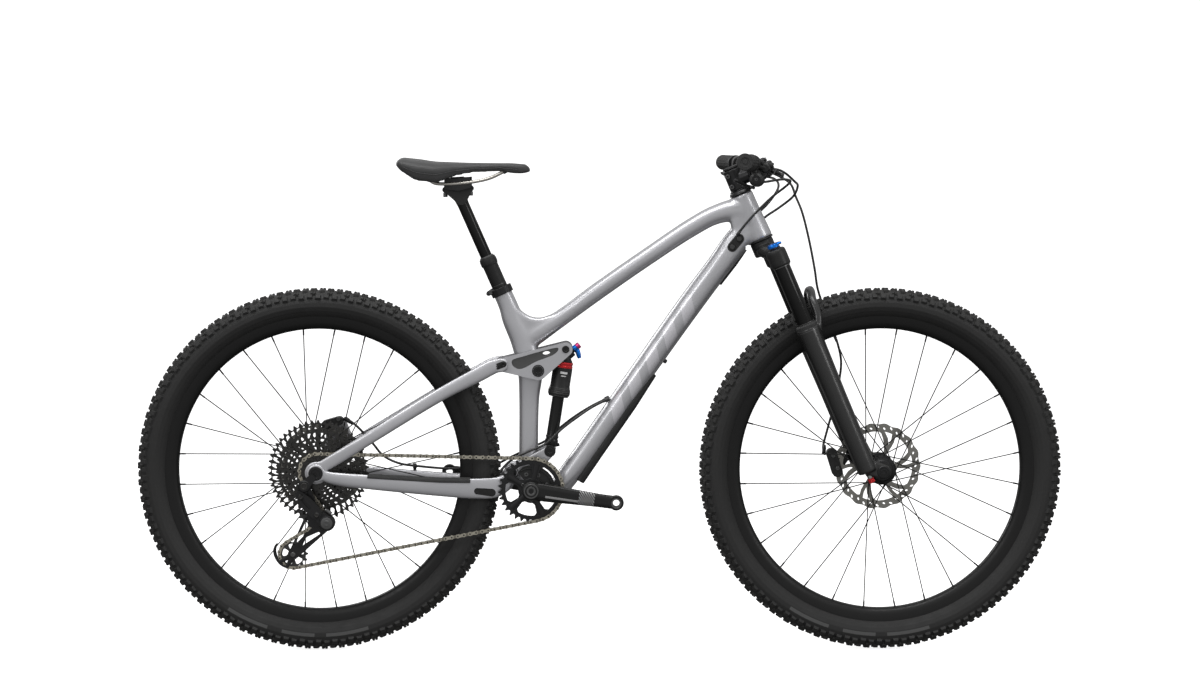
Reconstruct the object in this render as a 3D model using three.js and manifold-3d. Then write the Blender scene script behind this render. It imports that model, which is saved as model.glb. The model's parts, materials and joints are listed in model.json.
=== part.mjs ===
// Full-suspension mountain bike, 29-inch wheels, in millimetres.
// +X is the riding direction, +Y the rider's left, +Z up.
// The origin is on the ground, midway between the axles.
import * as THREE from "three";
import { mergeVertices } from "three/addons/utils/BufferGeometryUtils.js";
import Module from "manifold-3d";

const wasm = await Module();
wasm.setup();

// ---------- driving dimensions ----------
const WHEELBASE = 1157;
const TYRE_R = 375;
const REAR_AXLE = [-WHEELBASE / 2, TYRE_R];
const FRONT_AXLE = [WHEELBASE / 2, TYRE_R];
const BB = [-141, 337];
const HEAD_ANGLE = 67;
const FORK_OFFSET = 44;
const CROWN_HEIGHT = 529; // crown race above the foot of the axle's perpendicular, along the steering axis
const HEAD_TOP = 635;
const LEG_X = 15; // stanchion axis ahead of the steering axis
const LEG_Y = 65;
const STANCHION_R = 17;
const FORK_TRAVEL = 120;
const SEAL_Z = 333; // top of the fork lowers, along the steering axis
const SEAT_ANGLE = 66.2;
const SEAT_CLAMP = [-202, 742];
const MAIN_PIVOT = [-181, 371];
const ROCKER_PIVOT = [-127, 580];
const STAY_PIVOT = [-203.5, 592];
const SHOCK_TOP = [-70.5, 624];
const SHOCK_FOOT = [-103, 414];
const CHAIN_Y = -51.5;
const LINK_PITCH = 12.7;
const CHAINRING_TEETH = 32;
const COGS = [10, 12, 14, 16, 18, 21, 24, 28, 32, 36, 42, 50];
const COG_PITCH = 3.65;
const COG_IN_USE = 4;
const GUIDE = [-591, 289];
const TENSION = [-629, 205];
const CAGE_PIVOT = [-557, 273];
const HANGER = [-601, 350];
const SPOKES = 28;
const BAR_HALF = 375;
const BAR_R = 11.1;
const GRIP_R = 16;
const GAP = 0.3; // clearance between neighbouring solids
const FACE_MERGE = 0.05; // faces this close to one plane are merged after a boolean

// ---------- materials ----------
const material = (color, roughness, metalness) => new THREE.MeshStandardMaterial(
  { color, roughness, metalness },
);
const SILVER = material(0xa9a9b1, 0.35, 0.5);
const BLACK = material(0x16171a, 0.45, 0.2);
const ALLOY = material(0x222326, 0.3, 0.8);
const STEEL = material(0x8f8f86, 0.3, 0.9);
const RUBBER = material(0x2a2b2f, 0.85, 0);
const BLUE = material(0x1f6fd0, 0.3, 0.7);

// ---------- geometry helpers ----------
// Position-only geometry with shared vertices, its faces turned outwards.
function closed(geometry) {
  const bare = new THREE.BufferGeometry();
  const source = geometry.index ? geometry.toNonIndexed() : geometry;
  bare.setAttribute("position", source.getAttribute("position"));
  const merged = mergeVertices(bare, 1e-3);
  const p = merged.attributes.position;
  const index = merged.index.array;
  const [a, b, c] = [new THREE.Vector3(), new THREE.Vector3(), new THREE.Vector3()];
  const kept = [];
  let volume = 0;
  for (let i = 0; i < index.length; i += 3) {
    const [i0, i1, i2] = index.slice(i, i + 3);
    if (i0 === i1 || i1 === i2 || i0 === i2) continue;
    a.fromBufferAttribute(p, i0);
    b.fromBufferAttribute(p, i1);
    c.fromBufferAttribute(p, i2);
    volume += a.dot(b.cross(c));
    kept.push(i0, i1, i2);
  }
  if (volume < 0) kept.reverse();
  merged.setIndex(kept);
  return merged;
}

function solid(geometry) {
  const g = closed(geometry);
  const vertProperties = g.attributes.position.array;
  return new wasm.Manifold(
    new wasm.Mesh({ numProp: 3, vertProperties, triVerts: new Uint32Array(g.index.array) }),
  );
}

function fromSolid(made) {
  const mesh = made.asOriginal().simplify(FACE_MERGE).getMesh();
  const position = new THREE.BufferAttribute(new Float32Array(mesh.vertProperties), 3);
  const g = new THREE.BufferGeometry();
  g.setAttribute("position", position);
  g.setIndex(new THREE.BufferAttribute(mesh.triVerts, 1));
  return g;
}

const join = (...pieces) => fromSolid(pieces.map(solid).reduce((a, b) => a.add(b)));
const cut = (base, ...tools) => fromSolid(tools.map(solid).reduce((a, b) => a.subtract(b), solid(base)));
const mirrorY = (geometry) => closed(geometry.clone().scale(1, -1, 1));
const vec = (p) => new THREE.Vector3(...p);

// Outline in the XZ plane, extruded from y0 to y1.
function plate(shape, y0, y1, curveSegments = 8) {
  const depth = y1 - y0;
  const g = new THREE.ExtrudeGeometry(shape, { depth, bevelEnabled: false, curveSegments });
  return g.rotateX(Math.PI / 2).translate(0, y1, 0);
}

const circlePoints = ([x, z], r, n, start = 0) =>
  Array.from({ length: n }, (_, i) => {
    const a = start + (i / n) * 2 * Math.PI;
    return new THREE.Vector2(x + r * Math.cos(a), z + r * Math.sin(a));
  });

// Convex outline round a set of circles, each [centre, radius].
function hull(circles, n = 16) {
  const points = circles.flatMap(([c, r]) => circlePoints(c, r, n));
  points.sort((p, q) => p.x - q.x || p.y - q.y);
  const turn = (o, a, b) => (a.x - o.x) * (b.y - o.y) - (a.y - o.y) * (b.x - o.x);
  const half = (list) => {
    const chain = [];
    for (const p of list) {
      while (chain.length > 1 && turn(chain.at(-2), chain.at(-1), p) <= 1e-6) chain.pop();
      chain.push(p);
    }
    return chain.slice(0, -1);
  };
  return new THREE.Shape([...half(points), ...half([...points].reverse())]);
}

// Round bar from p to q, with radius r at p and r2 at q.
function rod(p, q, r, segments = 12, r2 = r) {
  const [a, b] = [vec(p), vec(q)];
  const g = new THREE.CylinderGeometry(r2, r, a.distanceTo(b), segments);
  g.applyQuaternion(
    new THREE.Quaternion().setFromUnitVectors(new THREE.Vector3(0, 1, 0), b.clone().sub(a).normalize()),
  );
  return g.translate(...a.add(b).multiplyScalar(0.5));
}

const acrossY = ([x, z], y0, y1, r, segments = 16) => rod([x, y0, z], [x, y1, z], r, segments);

// Body of revolution about an axis parallel to Y. The profile is [radius, y] pairs.
function turned([x, z], profile, segments = 28) {
  const points = profile.map(([r, y]) => new THREE.Vector2(r, y));
  return closed(new THREE.LatheGeometry([...points, points[0]], segments)).translate(x, 0, z);
}

const ring = (centre, inner, outer, y0, y1, segments) =>
  turned(centre, [[inner, y0], [outer, y0], [outer, y1], [inner, y1]], segments);

// Tube through stations [x, y, z, half thickness in the side view, half width].
// The sections are flattened ovals.
function loft(stations, sides = 12, squareness = 2.4) {
  const centres = stations.map((s) => vec(s.slice(0, 3)));
  const rings = stations.map((s, i) => {
    const before = centres[Math.max(i - 1, 0)];
    const after = centres[Math.min(i + 1, centres.length - 1)];
    const tangent = after.clone().sub(before).normalize();
    const up = new THREE.Vector3(0, 1, 0).cross(tangent).normalize();
    const side = tangent.clone().cross(up);
    return Array.from({ length: sides }, (_, k) => {
      const angle = (k / sides) * 2 * Math.PI;
      const rounded = (v) => Math.sign(v) * Math.abs(v) ** (2 / squareness);
      return centres[i].clone()
        .addScaledVector(up, s[3] * rounded(Math.cos(angle)))
        .addScaledVector(side, s[4] * rounded(Math.sin(angle)));
    });
  });
  return skin(rings, centres[0], centres.at(-1));
}

// Closed surface through rings of equal length, with a fan over each end.
function skin(rings, first, last) {
  const n = rings[0].length;
  const points = [...rings.flat(), first, last];
  const index = [];
  for (let i = 0; i + 1 < rings.length; i++) {
    for (let k = 0; k < n; k++) {
      const [a, b] = [i * n + k, i * n + ((k + 1) % n)];
      index.push(a, b, a + n, b, b + n, a + n);
    }
  }
  const end = (rings.length - 1) * n;
  for (let k = 0; k < n; k++) {
    const next = (k + 1) % n;
    index.push(points.length - 2, next, k, points.length - 1, end + k, end + next);
  }
  const g = new THREE.BufferGeometry().setFromPoints(points);
  g.setIndex(index);
  return closed(g);
}

// Round hose along a smooth curve through points.
function hose(points, radius, steps, sides = 6) {
  const extrudePath = new THREE.CatmullRomCurve3(points.map(vec), false, "centripetal");
  const section = new THREE.Shape(circlePoints([0, 0], radius, sides));
  return closed(new THREE.ExtrudeGeometry(section, { steps, bevelEnabled: false, extrudePath }));
}

const pitchRadius = (teeth) => LINK_PITCH / 2 / Math.sin(Math.PI / teeth);

// Toothed disc outline: each tooth is a short flat tip between two roots.
function sprocketShape(centre, teeth, tip = 2.8, root = -3.4) {
  const r = pitchRadius(teeth);
  const step = (2 * Math.PI) / teeth;
  const points = [];
  for (let i = 0; i < teeth; i++) {
    for (const [share, offset] of [[-0.5, root], [-0.13, tip], [0.13, tip]]) {
      const a = (i + share) * step;
      points.push(
        new THREE.Vector2(
          centre[0] + (r + offset) * Math.cos(a), centre[1] + (r + offset) * Math.sin(a),
        ),
      );
    }
  }
  return new THREE.Shape(points);
}

const hole = (shape, points) => shape.holes.push(new THREE.Path(points)) && shape;

// Window between two radii and two angles, as a hole in a disc.
function sectorPoints([x, z], r0, r1, a0, a1, n = 4) {
  const arc = (r, from, to) =>
    Array.from({ length: n }, (_, i) => {
      const a = from + ((to - from) * i) / (n - 1);
      return new THREE.Vector2(x + r * Math.cos(a), z + r * Math.sin(a));
    });
  return [...arc(r1, a0, a1), ...arc(r0, a1, a0)];
}

// ---------- assembly ----------
const bike = new THREE.Group();
function node(name, geometry, paint, parent = bike) {
  const mesh = new THREE.Mesh(geometry, paint);
  mesh.name = name;
  parent.add(mesh);
  return mesh;
}

// ---------- front triangle and what is fixed in it ----------
const steerSlope = THREE.MathUtils.degToRad(90 - HEAD_ANGLE);
const steerUp = [-Math.sin(steerSlope), Math.cos(steerSlope)];
const steerForward = [Math.cos(steerSlope), Math.sin(steerSlope)];
const steerFoot = [
  FRONT_AXLE[0] - FORK_OFFSET * steerForward[0], FRONT_AXLE[1] - FORK_OFFSET * steerForward[1],
];
const onSteerer = (along, ahead = 0) => [
  steerFoot[0] + along * steerUp[0] + ahead * steerForward[0],
  steerFoot[1] + along * steerUp[1] + ahead * steerForward[1],
];
const seatLean = THREE.MathUtils.degToRad(SEAT_ANGLE);
const seatUp = [-Math.cos(seatLean), Math.sin(seatLean)];
const onSeatAxis = (along, y = 0) => [
  SEAT_CLAMP[0] + along * seatUp[0], y, SEAT_CLAMP[1] + along * seatUp[1],
];

const BB_SHELL_R = 22;
const BB_SHELL_Y = 46;
const PIVOT_R = 7;
const BOSS_R = 15;
const BOSS_Y = 20;

function frontTriangle() {
  const topTube = loft([
    [-140, 0, 648, 22, 18],
    [-88, 0, 681, 17, 19],
    [0, 0, 745, 17.5, 21],
    [104, 0, 817, 17.5, 22],
    [187, 0, 872, 18.5, 22],
    [238, 0, 899, 19, 22],
    [284, 0, 908, 24, 22],
    [314, 0, 897, 26, 20],
  ]);
  const downTube = loft([
    [316, 0, 880, 26, 20],
    [280, 0, 842, 27, 26],
    [244, 0, 794, 25, 29],
    [186, 0, 716, 24.8, 30],
    [61, 0, 539.5, 23.5, 32],
    [-65, 0, 361.7, 22, 33],
    [-92, 0, 331, 20, 34],
    [-126, 0, 324, 14, 34],
  ]);
  const seatTube = loft([
    [...onSeatAxis(6), 18.5, 18.5],
    [...onSeatAxis(-35), 18.5, 18.5],
    [-180, 0, 686, 23, 19],
    [-150, 0, 640, 26, 20],
    [-139, 0, 580, 28, 20],
    [-146, 0, 520, 20, 18],
    [-147.5, 0, 403, 19.5, 17.5],
    [-147.5, 0, 345, 19.5, 18],
  ]);
  const throat = plate(new THREE.Shape([
    [-192, 732], [-182, 722], [-162, 700], [-140, 686], [-118, 684], [-94, 692], [-96, 660], [-165, 650],
  ].map(([x, z]) => new THREE.Vector2(x, z))), -16, 16);
  const headTube = rod(xyz(onSteerer(CROWN_HEIGHT + 4)), xyz(onSteerer(HEAD_TOP)), 26.5, 16, 22.5);
  const shell = acrossY(BB, -BB_SHELL_Y, BB_SHELL_Y, BB_SHELL_R, 16);
  const boss = plate(hull([[MAIN_PIVOT, BOSS_R], [[-158, 356], 12], [[-150, 345], 14]]), -BOSS_Y, BOSS_Y);
  const steererBore = rod(xyz(onSteerer(CROWN_HEIGHT - 20)), xyz(onSteerer(HEAD_TOP + 20)), 19.8, 16);
  const seatBore = rod(onSeatAxis(-150), onSeatAxis(40), 16.1, 16);
  return cut(
    join(topTube, downTube, seatTube, throat, headTube, shell, boss),
    steererBore,
    seatBore,
    rod(xyz(onSteerer(CROWN_HEIGHT - 30)), xyz(onSteerer(CROWN_HEIGHT + 3.9)), 34, 16),
    acrossY(BB, -60, 60, 15.2, 16),
    acrossY(MAIN_PIVOT, -60, 60, PIVOT_R + GAP, 12),
    acrossY(ROCKER_PIVOT, -60, 60, PIVOT_R + GAP, 12),
  );
}

// Lifts a side-view point to [x, y, z].
function xyz([x, z], y = 0) {
  return [x, y, z];
}

node("front_triangle", frontTriangle(), SILVER);

// Rubber guard along the underside of the down tube, hollowed to its shape.
const guardBody = loft([
  [108, 0, 573, 10, 20],
  [62, 0, 508, 14, 27],
  [-10, 0, 404, 14, 28],
  [-44, 0, 352, 13, 26],
]);
const guardSeat = loft([
  [186, 0, 716, 25.3, 30.5],
  [61, 0, 539.5, 24, 32.5],
  [-65, 0, 361.7, 22.5, 33.5],
  [-92, 0, 331, 20.5, 34.5],
  [-126, 0, 324, 15, 34.5],
]);
node("down_tube_guard", cut(guardBody, guardSeat), RUBBER);

// Bumper where the fork crown would meet the down tube.
const bumperBody = loft([[304, 0, 835, 4, 12], [276, 0, 798, 6, 14], [246, 0, 756, 4, 12]], 8);
const bumperSeat = loft(
  [
    [316, 0, 880, 26.6, 20.6], [280, 0, 842, 27.6, 26.6], [244, 0, 794, 25.6, 29.6],
    [186, 0, 716, 25.4, 30.6],
  ],
);
node("fork_bumper", cut(bumperBody, bumperSeat), RUBBER);

const collarRing = cut(
  join(
    rod(onSeatAxis(-7), onSeatAxis(8.5), 23, 16),
    plate(hull([[[-229, 737], 5], [[-220, 742], 6]], 8), -8, 8),
  ),
  rod(onSeatAxis(-20), onSeatAxis(6 + GAP), 20.2, 16),
  rod(onSeatAxis(-20), onSeatAxis(20), 16.2, 16),
);
node("seat_collar", collarRing, BLACK);

const OUTER_TOP = 76;
const DROPPER_R = 12;
const outerTube = cut(
  join(
    rod(onSeatAxis(-140), onSeatAxis(OUTER_TOP), 15.8, 16),
    rod(onSeatAxis(OUTER_TOP - 20), onSeatAxis(OUTER_TOP), 17.4, 16),
  ),
  rod(onSeatAxis(-150), onSeatAxis(OUTER_TOP + 10), DROPPER_R + GAP, 16),
);
node("dropper_outer_tube", outerTube, BLACK);

// Pivot pin across the frame with a low head at each end. The profile runs along Y.
function pin(centre, halfLength, headR) {
  const [r, y] = [PIVOT_R, halfLength];
  return turned(
    centre,
    [[0, -y - 3], [headR, -y - 3], [headR, -y], [r, -y], [r, y], [headR, y], [headR, y + 3], [0, y + 3]],
    12,
  );
}
node("rocker_pivot_axle", pin(ROCKER_PIVOT, 33 + GAP, 10), BLACK);
node("main_pivot_axle", pin(MAIN_PIVOT, 35 + GAP, 10), BLACK);

// ---------- dropper post and saddle ----------
const HEAD_Y = 20;
const railZ = 962;
const postHead = join(
  rod(onSeatAxis(-15), onSeatAxis(216), DROPPER_R, 16),
  plate(hull([[[-312, 950], 5], [[-269, 953], 5], [[-284, 930], 11]], 12), -HEAD_Y + 4, HEAD_Y - 4),
);
node("dropper_post", postHead, BLACK);
const clampPlate = join(
  plate(hull([[[-308, 971], 4], [[-276, 973], 4]], 8), -HEAD_Y - 4, HEAD_Y + 4),
  rod([-298, 0, 956.4], [-298, 0, 971], 3, 8),
);
node("saddle_clamp", clampPlate, BLACK);

const RAIL_POINTS = [
  [-358, 982], [-341, 965], [-318, railZ], [-262, railZ + 4], [-226, 974], [-196, 988],
];
const railRun = (radius) => hose(
  RAIL_POINTS.map(([x, z]) => [x, -22 + Math.max(0, x + 262) * 0.16, z]), radius, 14,
);
const railRight = railRun(3.5);
const railBridge = (x, z, y) => rod([x, -y, z], [x, y, z], 4.2, 6);
node(
  "saddle_rails",
  join(
    railRight, mirrorY(railRight), rod([-357, -22, 981], [-357, 22, 981], 3.4, 6),
    rod([-197, -11.6, 987], [-197, 11.6, 987], 3.4, 6),
  ),
  STEEL,
);

// Saddle shell: sections across the width, from tail to nose.
const saddleStations = [
  { x: -416, top: 1008, drop: 8, half: 55 },
  { x: -405, top: 1015, drop: 26, half: 64 },
  { x: -375, top: 1011, drop: 42, half: 69 },
  { x: -335, top: 1005, drop: 52, half: 61 },
  { x: -290, top: 1003, drop: 41, half: 37 },
  { x: -240, top: 1003, drop: 27, half: 24 },
  { x: -190, top: 1003, drop: 20, half: 19 },
  { x: -160, top: 1000, drop: 20, half: 17 },
  { x: -149, top: 994, drop: 12, half: 10 },
];
// Half-section of the saddle as shares of its half width and its drop, from the crown to the skirt.
const saddleSection = [
  [0, -0.06], [0.5, 0], [0.85, 0.12], [1, 0.4], [0.93, 1], [0.8, 1], [0.72, 0.46], [0, 0.3],
];
const saddleRings = saddleStations.map(({ x, top, drop, half }) => {
  const right = saddleSection.map(([w, d]) => new THREE.Vector3(x, -w * half, top - d * drop));
  const left = saddleSection.slice(1, -1).reverse().map(
    ([w, d]) => new THREE.Vector3(x, w * half, top - d * drop),
  );
  return [...right, ...left];
});
const saddleCentre = ({ x, top, drop }) => new THREE.Vector3(x, 0, top - drop * 0.15);
const saddleShell = skin(saddleRings, saddleCentre(saddleStations[0]), saddleCentre(saddleStations.at(-1)));
const railSocket = railRun(4.2);
node(
  "saddle",
  cut(
    saddleShell, railSocket, mirrorY(railSocket), railBridge(-357, 981, 24), railBridge(-197, 987, 14),
  ),
  RUBBER,
);

// ---------- rear suspension ----------
const STAY_BORE = 6 + GAP;
const chainstayArm = loft([
  [-571, 84, 373, 10, 3.2],
  [-550, 80.5, 366, 12, 5],
  [-529, 77, 362, 13.5, 6],
  [-470, 74, 356, 15, 5.4],
  [-327, 55, 343, 18.5, 6],
  [-262, 42.6, 339, 21, 4.6],
  [-216, 42.3, 341, 21, 4.5],
  [-196, 36, 350, 18, 6],
  [-181, 28.5, 366, 14, 7],
], 8);
const CROSS_BAR = [-118, 390];
const chainstaySide = join(
  chainstayArm,
  acrossY(REAR_AXLE, 80.6, 87, 19),
  acrossY(MAIN_PIVOT, 21, 35, 16.5),
  plate(hull([[MAIN_PIVOT, 12], [CROSS_BAR, 6], [SHOCK_FOOT, 11]]), 21.5, 29),
);
const chainstay = cut(
  join(chainstaySide, mirrorY(chainstaySide), acrossY(CROSS_BAR, -25, 25, 5.5, 12)),
  acrossY(REAR_AXLE, -100, 100, STAY_BORE, 12),
  acrossY(MAIN_PIVOT, -100, 100, PIVOT_R + GAP, 12),
  ...[-1, 1].map((side) => acrossY(REAR_AXLE, side < 0 ? -80.3 : 60, side < 0 ? -60 : 80.3, 23.6, 16)),
  ...[-1, 1].map((side) => acrossY(MAIN_PIVOT, side < 0 ? -50 : 35, side < 0 ? -35 : 50, 10.6, 12)),
);
node("chainstay", chainstay, SILVER);

const axleProfile = (r, half, headR) => [
  [0, -half - 3], [headR, -half - 3], [headR, -half], [r, -half], [r, half], [headR, half],
  [headR, half + 3], [0, half + 3],
];
node("rear_axle", turned(REAR_AXLE, axleProfile(6, 87 + GAP, 12), 12), BLACK);

const seatstayArm = loft([
  [-190, 41, 594, 11, 4.5],
  [-215, 41.5, 590, 14.5, 5],
  [-249, 43.5, 573, 15, 6],
  [-324, 48, 534, 13.5, 7],
  [-460, 75.5, 452, 12.5, 5.5],
  [-540, 77, 403, 13, 3.2],
  [-575, 77.2, 383, 12, 2.6],
], 8);
const STAY_BRIDGE_R = 388;
const bridgeAngle = Math.PI / 6;
const STAY_BRIDGE = [
  REAR_AXLE[0] + STAY_BRIDGE_R * Math.cos(bridgeAngle),
  REAR_AXLE[1] + STAY_BRIDGE_R * Math.sin(bridgeAngle),
];
const seatstaySide = join(
  seatstayArm, acrossY(REAR_AXLE, 74.5, 80, 23, 16), acrossY(STAY_PIVOT, 36, 46, 14),
);
const calliperTab = plate(
  hull([[[-566, 402], 9], [[-520, 420], 9], [[-536, 462], 8], [[-562, 462], 8]]), 71, 80,
);
const seatstay = cut(
  join(seatstaySide, mirrorY(seatstaySide), acrossY(STAY_BRIDGE, -43, 43, 5, 10), calliperTab),
  acrossY(REAR_AXLE, -100, 100, STAY_BORE, 12),
);
node("seatstay", seatstay, SILVER);

// Rear calliper: a block that straddles the rotor, with its rotor slot cut right through it.
const REAR_ROTOR_Y = 58;
const rearBlock = plate(
  hull([[[-570, 462], 9], [[-542, 470], 9]], 10), REAR_ROTOR_Y - 14, REAR_ROTOR_Y + 9,
);
const rearSlot = ring(REAR_AXLE, 60, 93, REAR_ROTOR_Y - 2, REAR_ROTOR_Y + 2, 40);
node("rear_calliper", cut(rearBlock, rearSlot), BLACK);

const rockerShape = hull([[STAY_PIVOT, 13], [ROCKER_PIVOT, 19], [SHOCK_TOP, 14]]);
hole(rockerShape, circlePoints([-110, 618], 6, 8));
const SHOCK_BOLT_R = 4;
const rockerPlate = cut(plate(rockerShape, 24.5, 33), acrossY(ROCKER_PIVOT, 0, 60, PIVOT_R + GAP, 12));
node(
  "rocker_link", join(rockerPlate, mirrorY(rockerPlate), acrossY(SHOCK_TOP, -30, 30, SHOCK_BOLT_R, 12)),
  SILVER,
);

const shockLength = Math.hypot(SHOCK_TOP[0] - SHOCK_FOOT[0], SHOCK_TOP[1] - SHOCK_FOOT[1]);
const shockUp = [
  (SHOCK_TOP[0] - SHOCK_FOOT[0]) / shockLength, (SHOCK_TOP[1] - SHOCK_FOOT[1]) / shockLength,
];
const onShock = (along, ahead = 0, y = 0) => [
  SHOCK_FOOT[0] + along * shockUp[0] + ahead * shockUp[1],
  y,
  SHOCK_FOOT[1] + along * shockUp[1] - ahead * shockUp[0],
];
const SHAFT_R = 12.2;
node(
  "shock_shaft", join(acrossY(SHOCK_FOOT, -19, 19, 11.5), rod(onShock(5), onShock(126), SHAFT_R, 16)),
  BLACK,
);
const shockCan = cut(
  join(
    acrossY(SHOCK_TOP, -22, 22, 12),
    rod(onShock(112), onShock(132), 22.5, 16),
    rod(onShock(131), onShock(188), 20.3, 16),
    rod(onShock(187), onShock(206), 14),
    rod(onShock(196, 2), onShock(210, 14), 11),
  ),
  rod(onShock(100), onShock(176), SHAFT_R + GAP, 16),
  acrossY(SHOCK_TOP, -40, 40, SHOCK_BOLT_R + GAP, 12),
);
node("shock_can", shockCan, BLACK);
const leverHub = onShock(217, 20);
const shockLever = join(
  rod(onShock(213, 16.8), onShock(220, 22.9), 7, 12),
  plate(hull([[[leverHub[0], leverHub[2]], 3], [[-41, 603], 2.6]], 8), -4, 4),
);
node("shock_lever", shockLever, BLUE);

// ---------- wheels ----------
const rimProfile = [
  [289.5, -9], [296, -15.5], [317, -17.2], [317, -15.4], [311.5, -15.4],
  [311.5, 15.4], [317, 15.4], [317, 17.2], [296, 15.5], [289.5, 9],
];
const tyreOuter = [[312, 14.8], [318, 14.8], [335, 32], [356, 32], [TYRE_R, 11]];
const tyreInner = [[312, 8.8], [332, 22], [352, 25], [368, 8]];
const bothSides = (points) => [...points.map(([r, y]) => [r, -y]), ...[...points].reverse()];
const tyreProfile = [...bothSides(tyreOuter), ...bothSides(tyreInner).reverse()];

// One laced set: spokes that cross on their way out, and the ring of nipples that joins them inside the rim.
function spokes(axle, flanges) {
  const RIM_R = 286.3;
  const CROSS = 1.5;
  const pieces = [ring(axle, 285, 287.6, -3, 3, SPOKES)];
  flanges.forEach(({ y, r }, side) => {
    for (let i = 0; i < SPOKES / 2; i++) {
      const way = i % 2 ? 1 : -1;
      const rimAngle = ((2 * i + side + 0.5) / SPOKES) * 2 * Math.PI;
      const flangeAngle = rimAngle + way * 1.2;
      const hubPoint = [
        axle[0] + r * Math.cos(flangeAngle), y + way * CROSS, axle[1] + r * Math.sin(flangeAngle),
      ];
      const rimPoint = [
        axle[0] + RIM_R * Math.cos(rimAngle), Math.sign(y) * 1.5, axle[1] + RIM_R * Math.sin(rimAngle),
      ];
      pieces.push(rod(hubPoint, rimPoint, 1.1, 3));
    }
  });
  return join(...pieces);
}

// Brake rotor: a ring with six windows and a hole for the hub.
function rotor(axle, y) {
  const shape = new THREE.Shape(circlePoints(axle, 90, 32));
  hole(shape, circlePoints(axle, 19.8, 16));
  for (let i = 0; i < 6; i++) {
    const a = (i / 6) * 2 * Math.PI;
    hole(shape, sectorPoints(axle, 31, 73, a + 0.09, a + 0.92, 3));
  }
  return plate(shape, y - 0.9, y + 0.9);
}

function wheel(prefix, axle, flanges, hubProfile, rotorY) {
  node(`${prefix}_tyre`, turned(axle, tyreProfile, 32), RUBBER);
  node(`${prefix}_rim`, turned(axle, rimProfile, 32), BLACK);
  node(`${prefix}_spokes`, spokes(axle, flanges), BLACK);
  node(`${prefix}_hub`, turned(axle, hubProfile, 16), ALLOY);
  node(`${prefix}_rotor`, rotor(axle, rotorY), STEEL);
}

const FRONT_ROTOR_Y = 43;
wheel("rear", REAR_AXLE, [{ y: -19.6, r: 28 }, { y: 33.6, r: 28 }], [
  [STAY_BORE, -74], [9.5, -74], [9.5, -24.4], [31, -24.4], [31, -22.2], [17, -21.8], [17, 35.8],
  [31, 36.2], [31, 38.4], [22, 40], [22, 56.8], [19.4, 56.8], [19.4, 63], [12, 63], [12, 74],
  [STAY_BORE, 74],
], REAR_ROTOR_Y);
wheel("front", FRONT_AXLE, [{ y: -32.6, r: 27 }, { y: 20.6, r: 27 }], [
  [7.5 + GAP, -55], [13, -55], [13, -46], [25, -40], [30, -37.2], [30, -35.2], [16, -34.8], [16, 22.8],
  [30, 23.2], [30, 25.2], [22, 29], [22, 41.8], [19.4, 41.8], [19.4, 47], [13, 47], [13, 55],
  [7.5 + GAP, 55],
], FRONT_ROTOR_Y);

// ---------- drivetrain ----------
const cogY = (i) => CHAIN_Y + (i - COG_IN_USE) * COG_PITCH;
const TIP = 2.8;
const cassetteProfile = COGS.flatMap((teeth, i) => {
  const r = pitchRadius(teeth) + TIP;
  return [[r, cogY(i) - 1], [r, i + 1 < COGS.length ? cogY(i + 1) - 1 : cogY(i) + 1]];
});
node(
  "cassette", turned(REAR_AXLE, [[9.8, cogY(0) - 1], ...cassetteProfile, [9.8, cogY(11) + 1]], 16),
  ALLOY,
);

const CRANK_LENGTH = 175;
const crankAngle = THREE.MathUtils.degToRad(-7.7);
const crankDir = [Math.cos(crankAngle), Math.sin(crankAngle)];
const alongCrank = (s, sign = 1) => [BB[0] + sign * s * crankDir[0], BB[1] + sign * s * crankDir[1]];
function crankArm(sign, y0, y1, yTip0, yTip1) {
  const middle = (a, b) => (a + b) / 2;
  const halfWidth = (a, b) => Math.abs(b - a) / 2;
  const station = (s, half, a, b) => [...xyz(alongCrank(s, sign), middle(a, b)), half, halfWidth(a, b)];
  const blend = (share) => [y0 + (yTip0 - y0) * share, y1 + (yTip1 - y1) * share];
  const arm = loft([
    station(0, 19, ...blend(0)), station(30, 19, ...blend(0.15)), station(90, 16, ...blend(0.7)),
    station(140, 14, ...blend(1)), station(CRANK_LENGTH, 14, ...blend(1)),
  ], 10, 3);
  const eye = acrossY(alongCrank(CRANK_LENGTH, sign), Math.min(yTip0, yTip1), Math.max(yTip0, yTip1), 15.5);
  return { arm, eye };
}
const rightArm = crankArm(1, -56, -74, -70, -84);
const leftArm = crankArm(-1, 53, 71, 70, 84);
const pedalBore = (sign) => acrossY(alongCrank(CRANK_LENGTH, sign), -120, 120, 7, 12);
const SPINDLE_R = 14.5;
const crankRight = cut(
  join(rightArm.arm, rightArm.eye, acrossY(BB, -76, 72, SPINDLE_R), acrossY(BB, -75, -54, 19)),
  pedalBore(1),
);
node("crank_right", crankRight, ALLOY);
const crankLeft = cut(
  join(leftArm.arm, leftArm.eye, acrossY(BB, 52, 72, 19)),
  pedalBore(-1),
  acrossY(BB, 0, 120, SPINDLE_R + GAP),
);
node("crank_left", crankLeft, ALLOY);

function chainring() {
  const shape = sprocketShape(BB, CHAINRING_TEETH);
  hole(shape, circlePoints(BB, SPINDLE_R + GAP, 16));
  for (let i = 0; i < 5; i++) {
    const a = (i / 5) * 2 * Math.PI + 0.3;
    hole(shape, sectorPoints(BB, 27, 54, a, a + 0.85, 3));
  }
  return plate(shape, CHAIN_Y - 1, CHAIN_Y + 1);
}
node("chainring", chainring(), BLACK);

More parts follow.
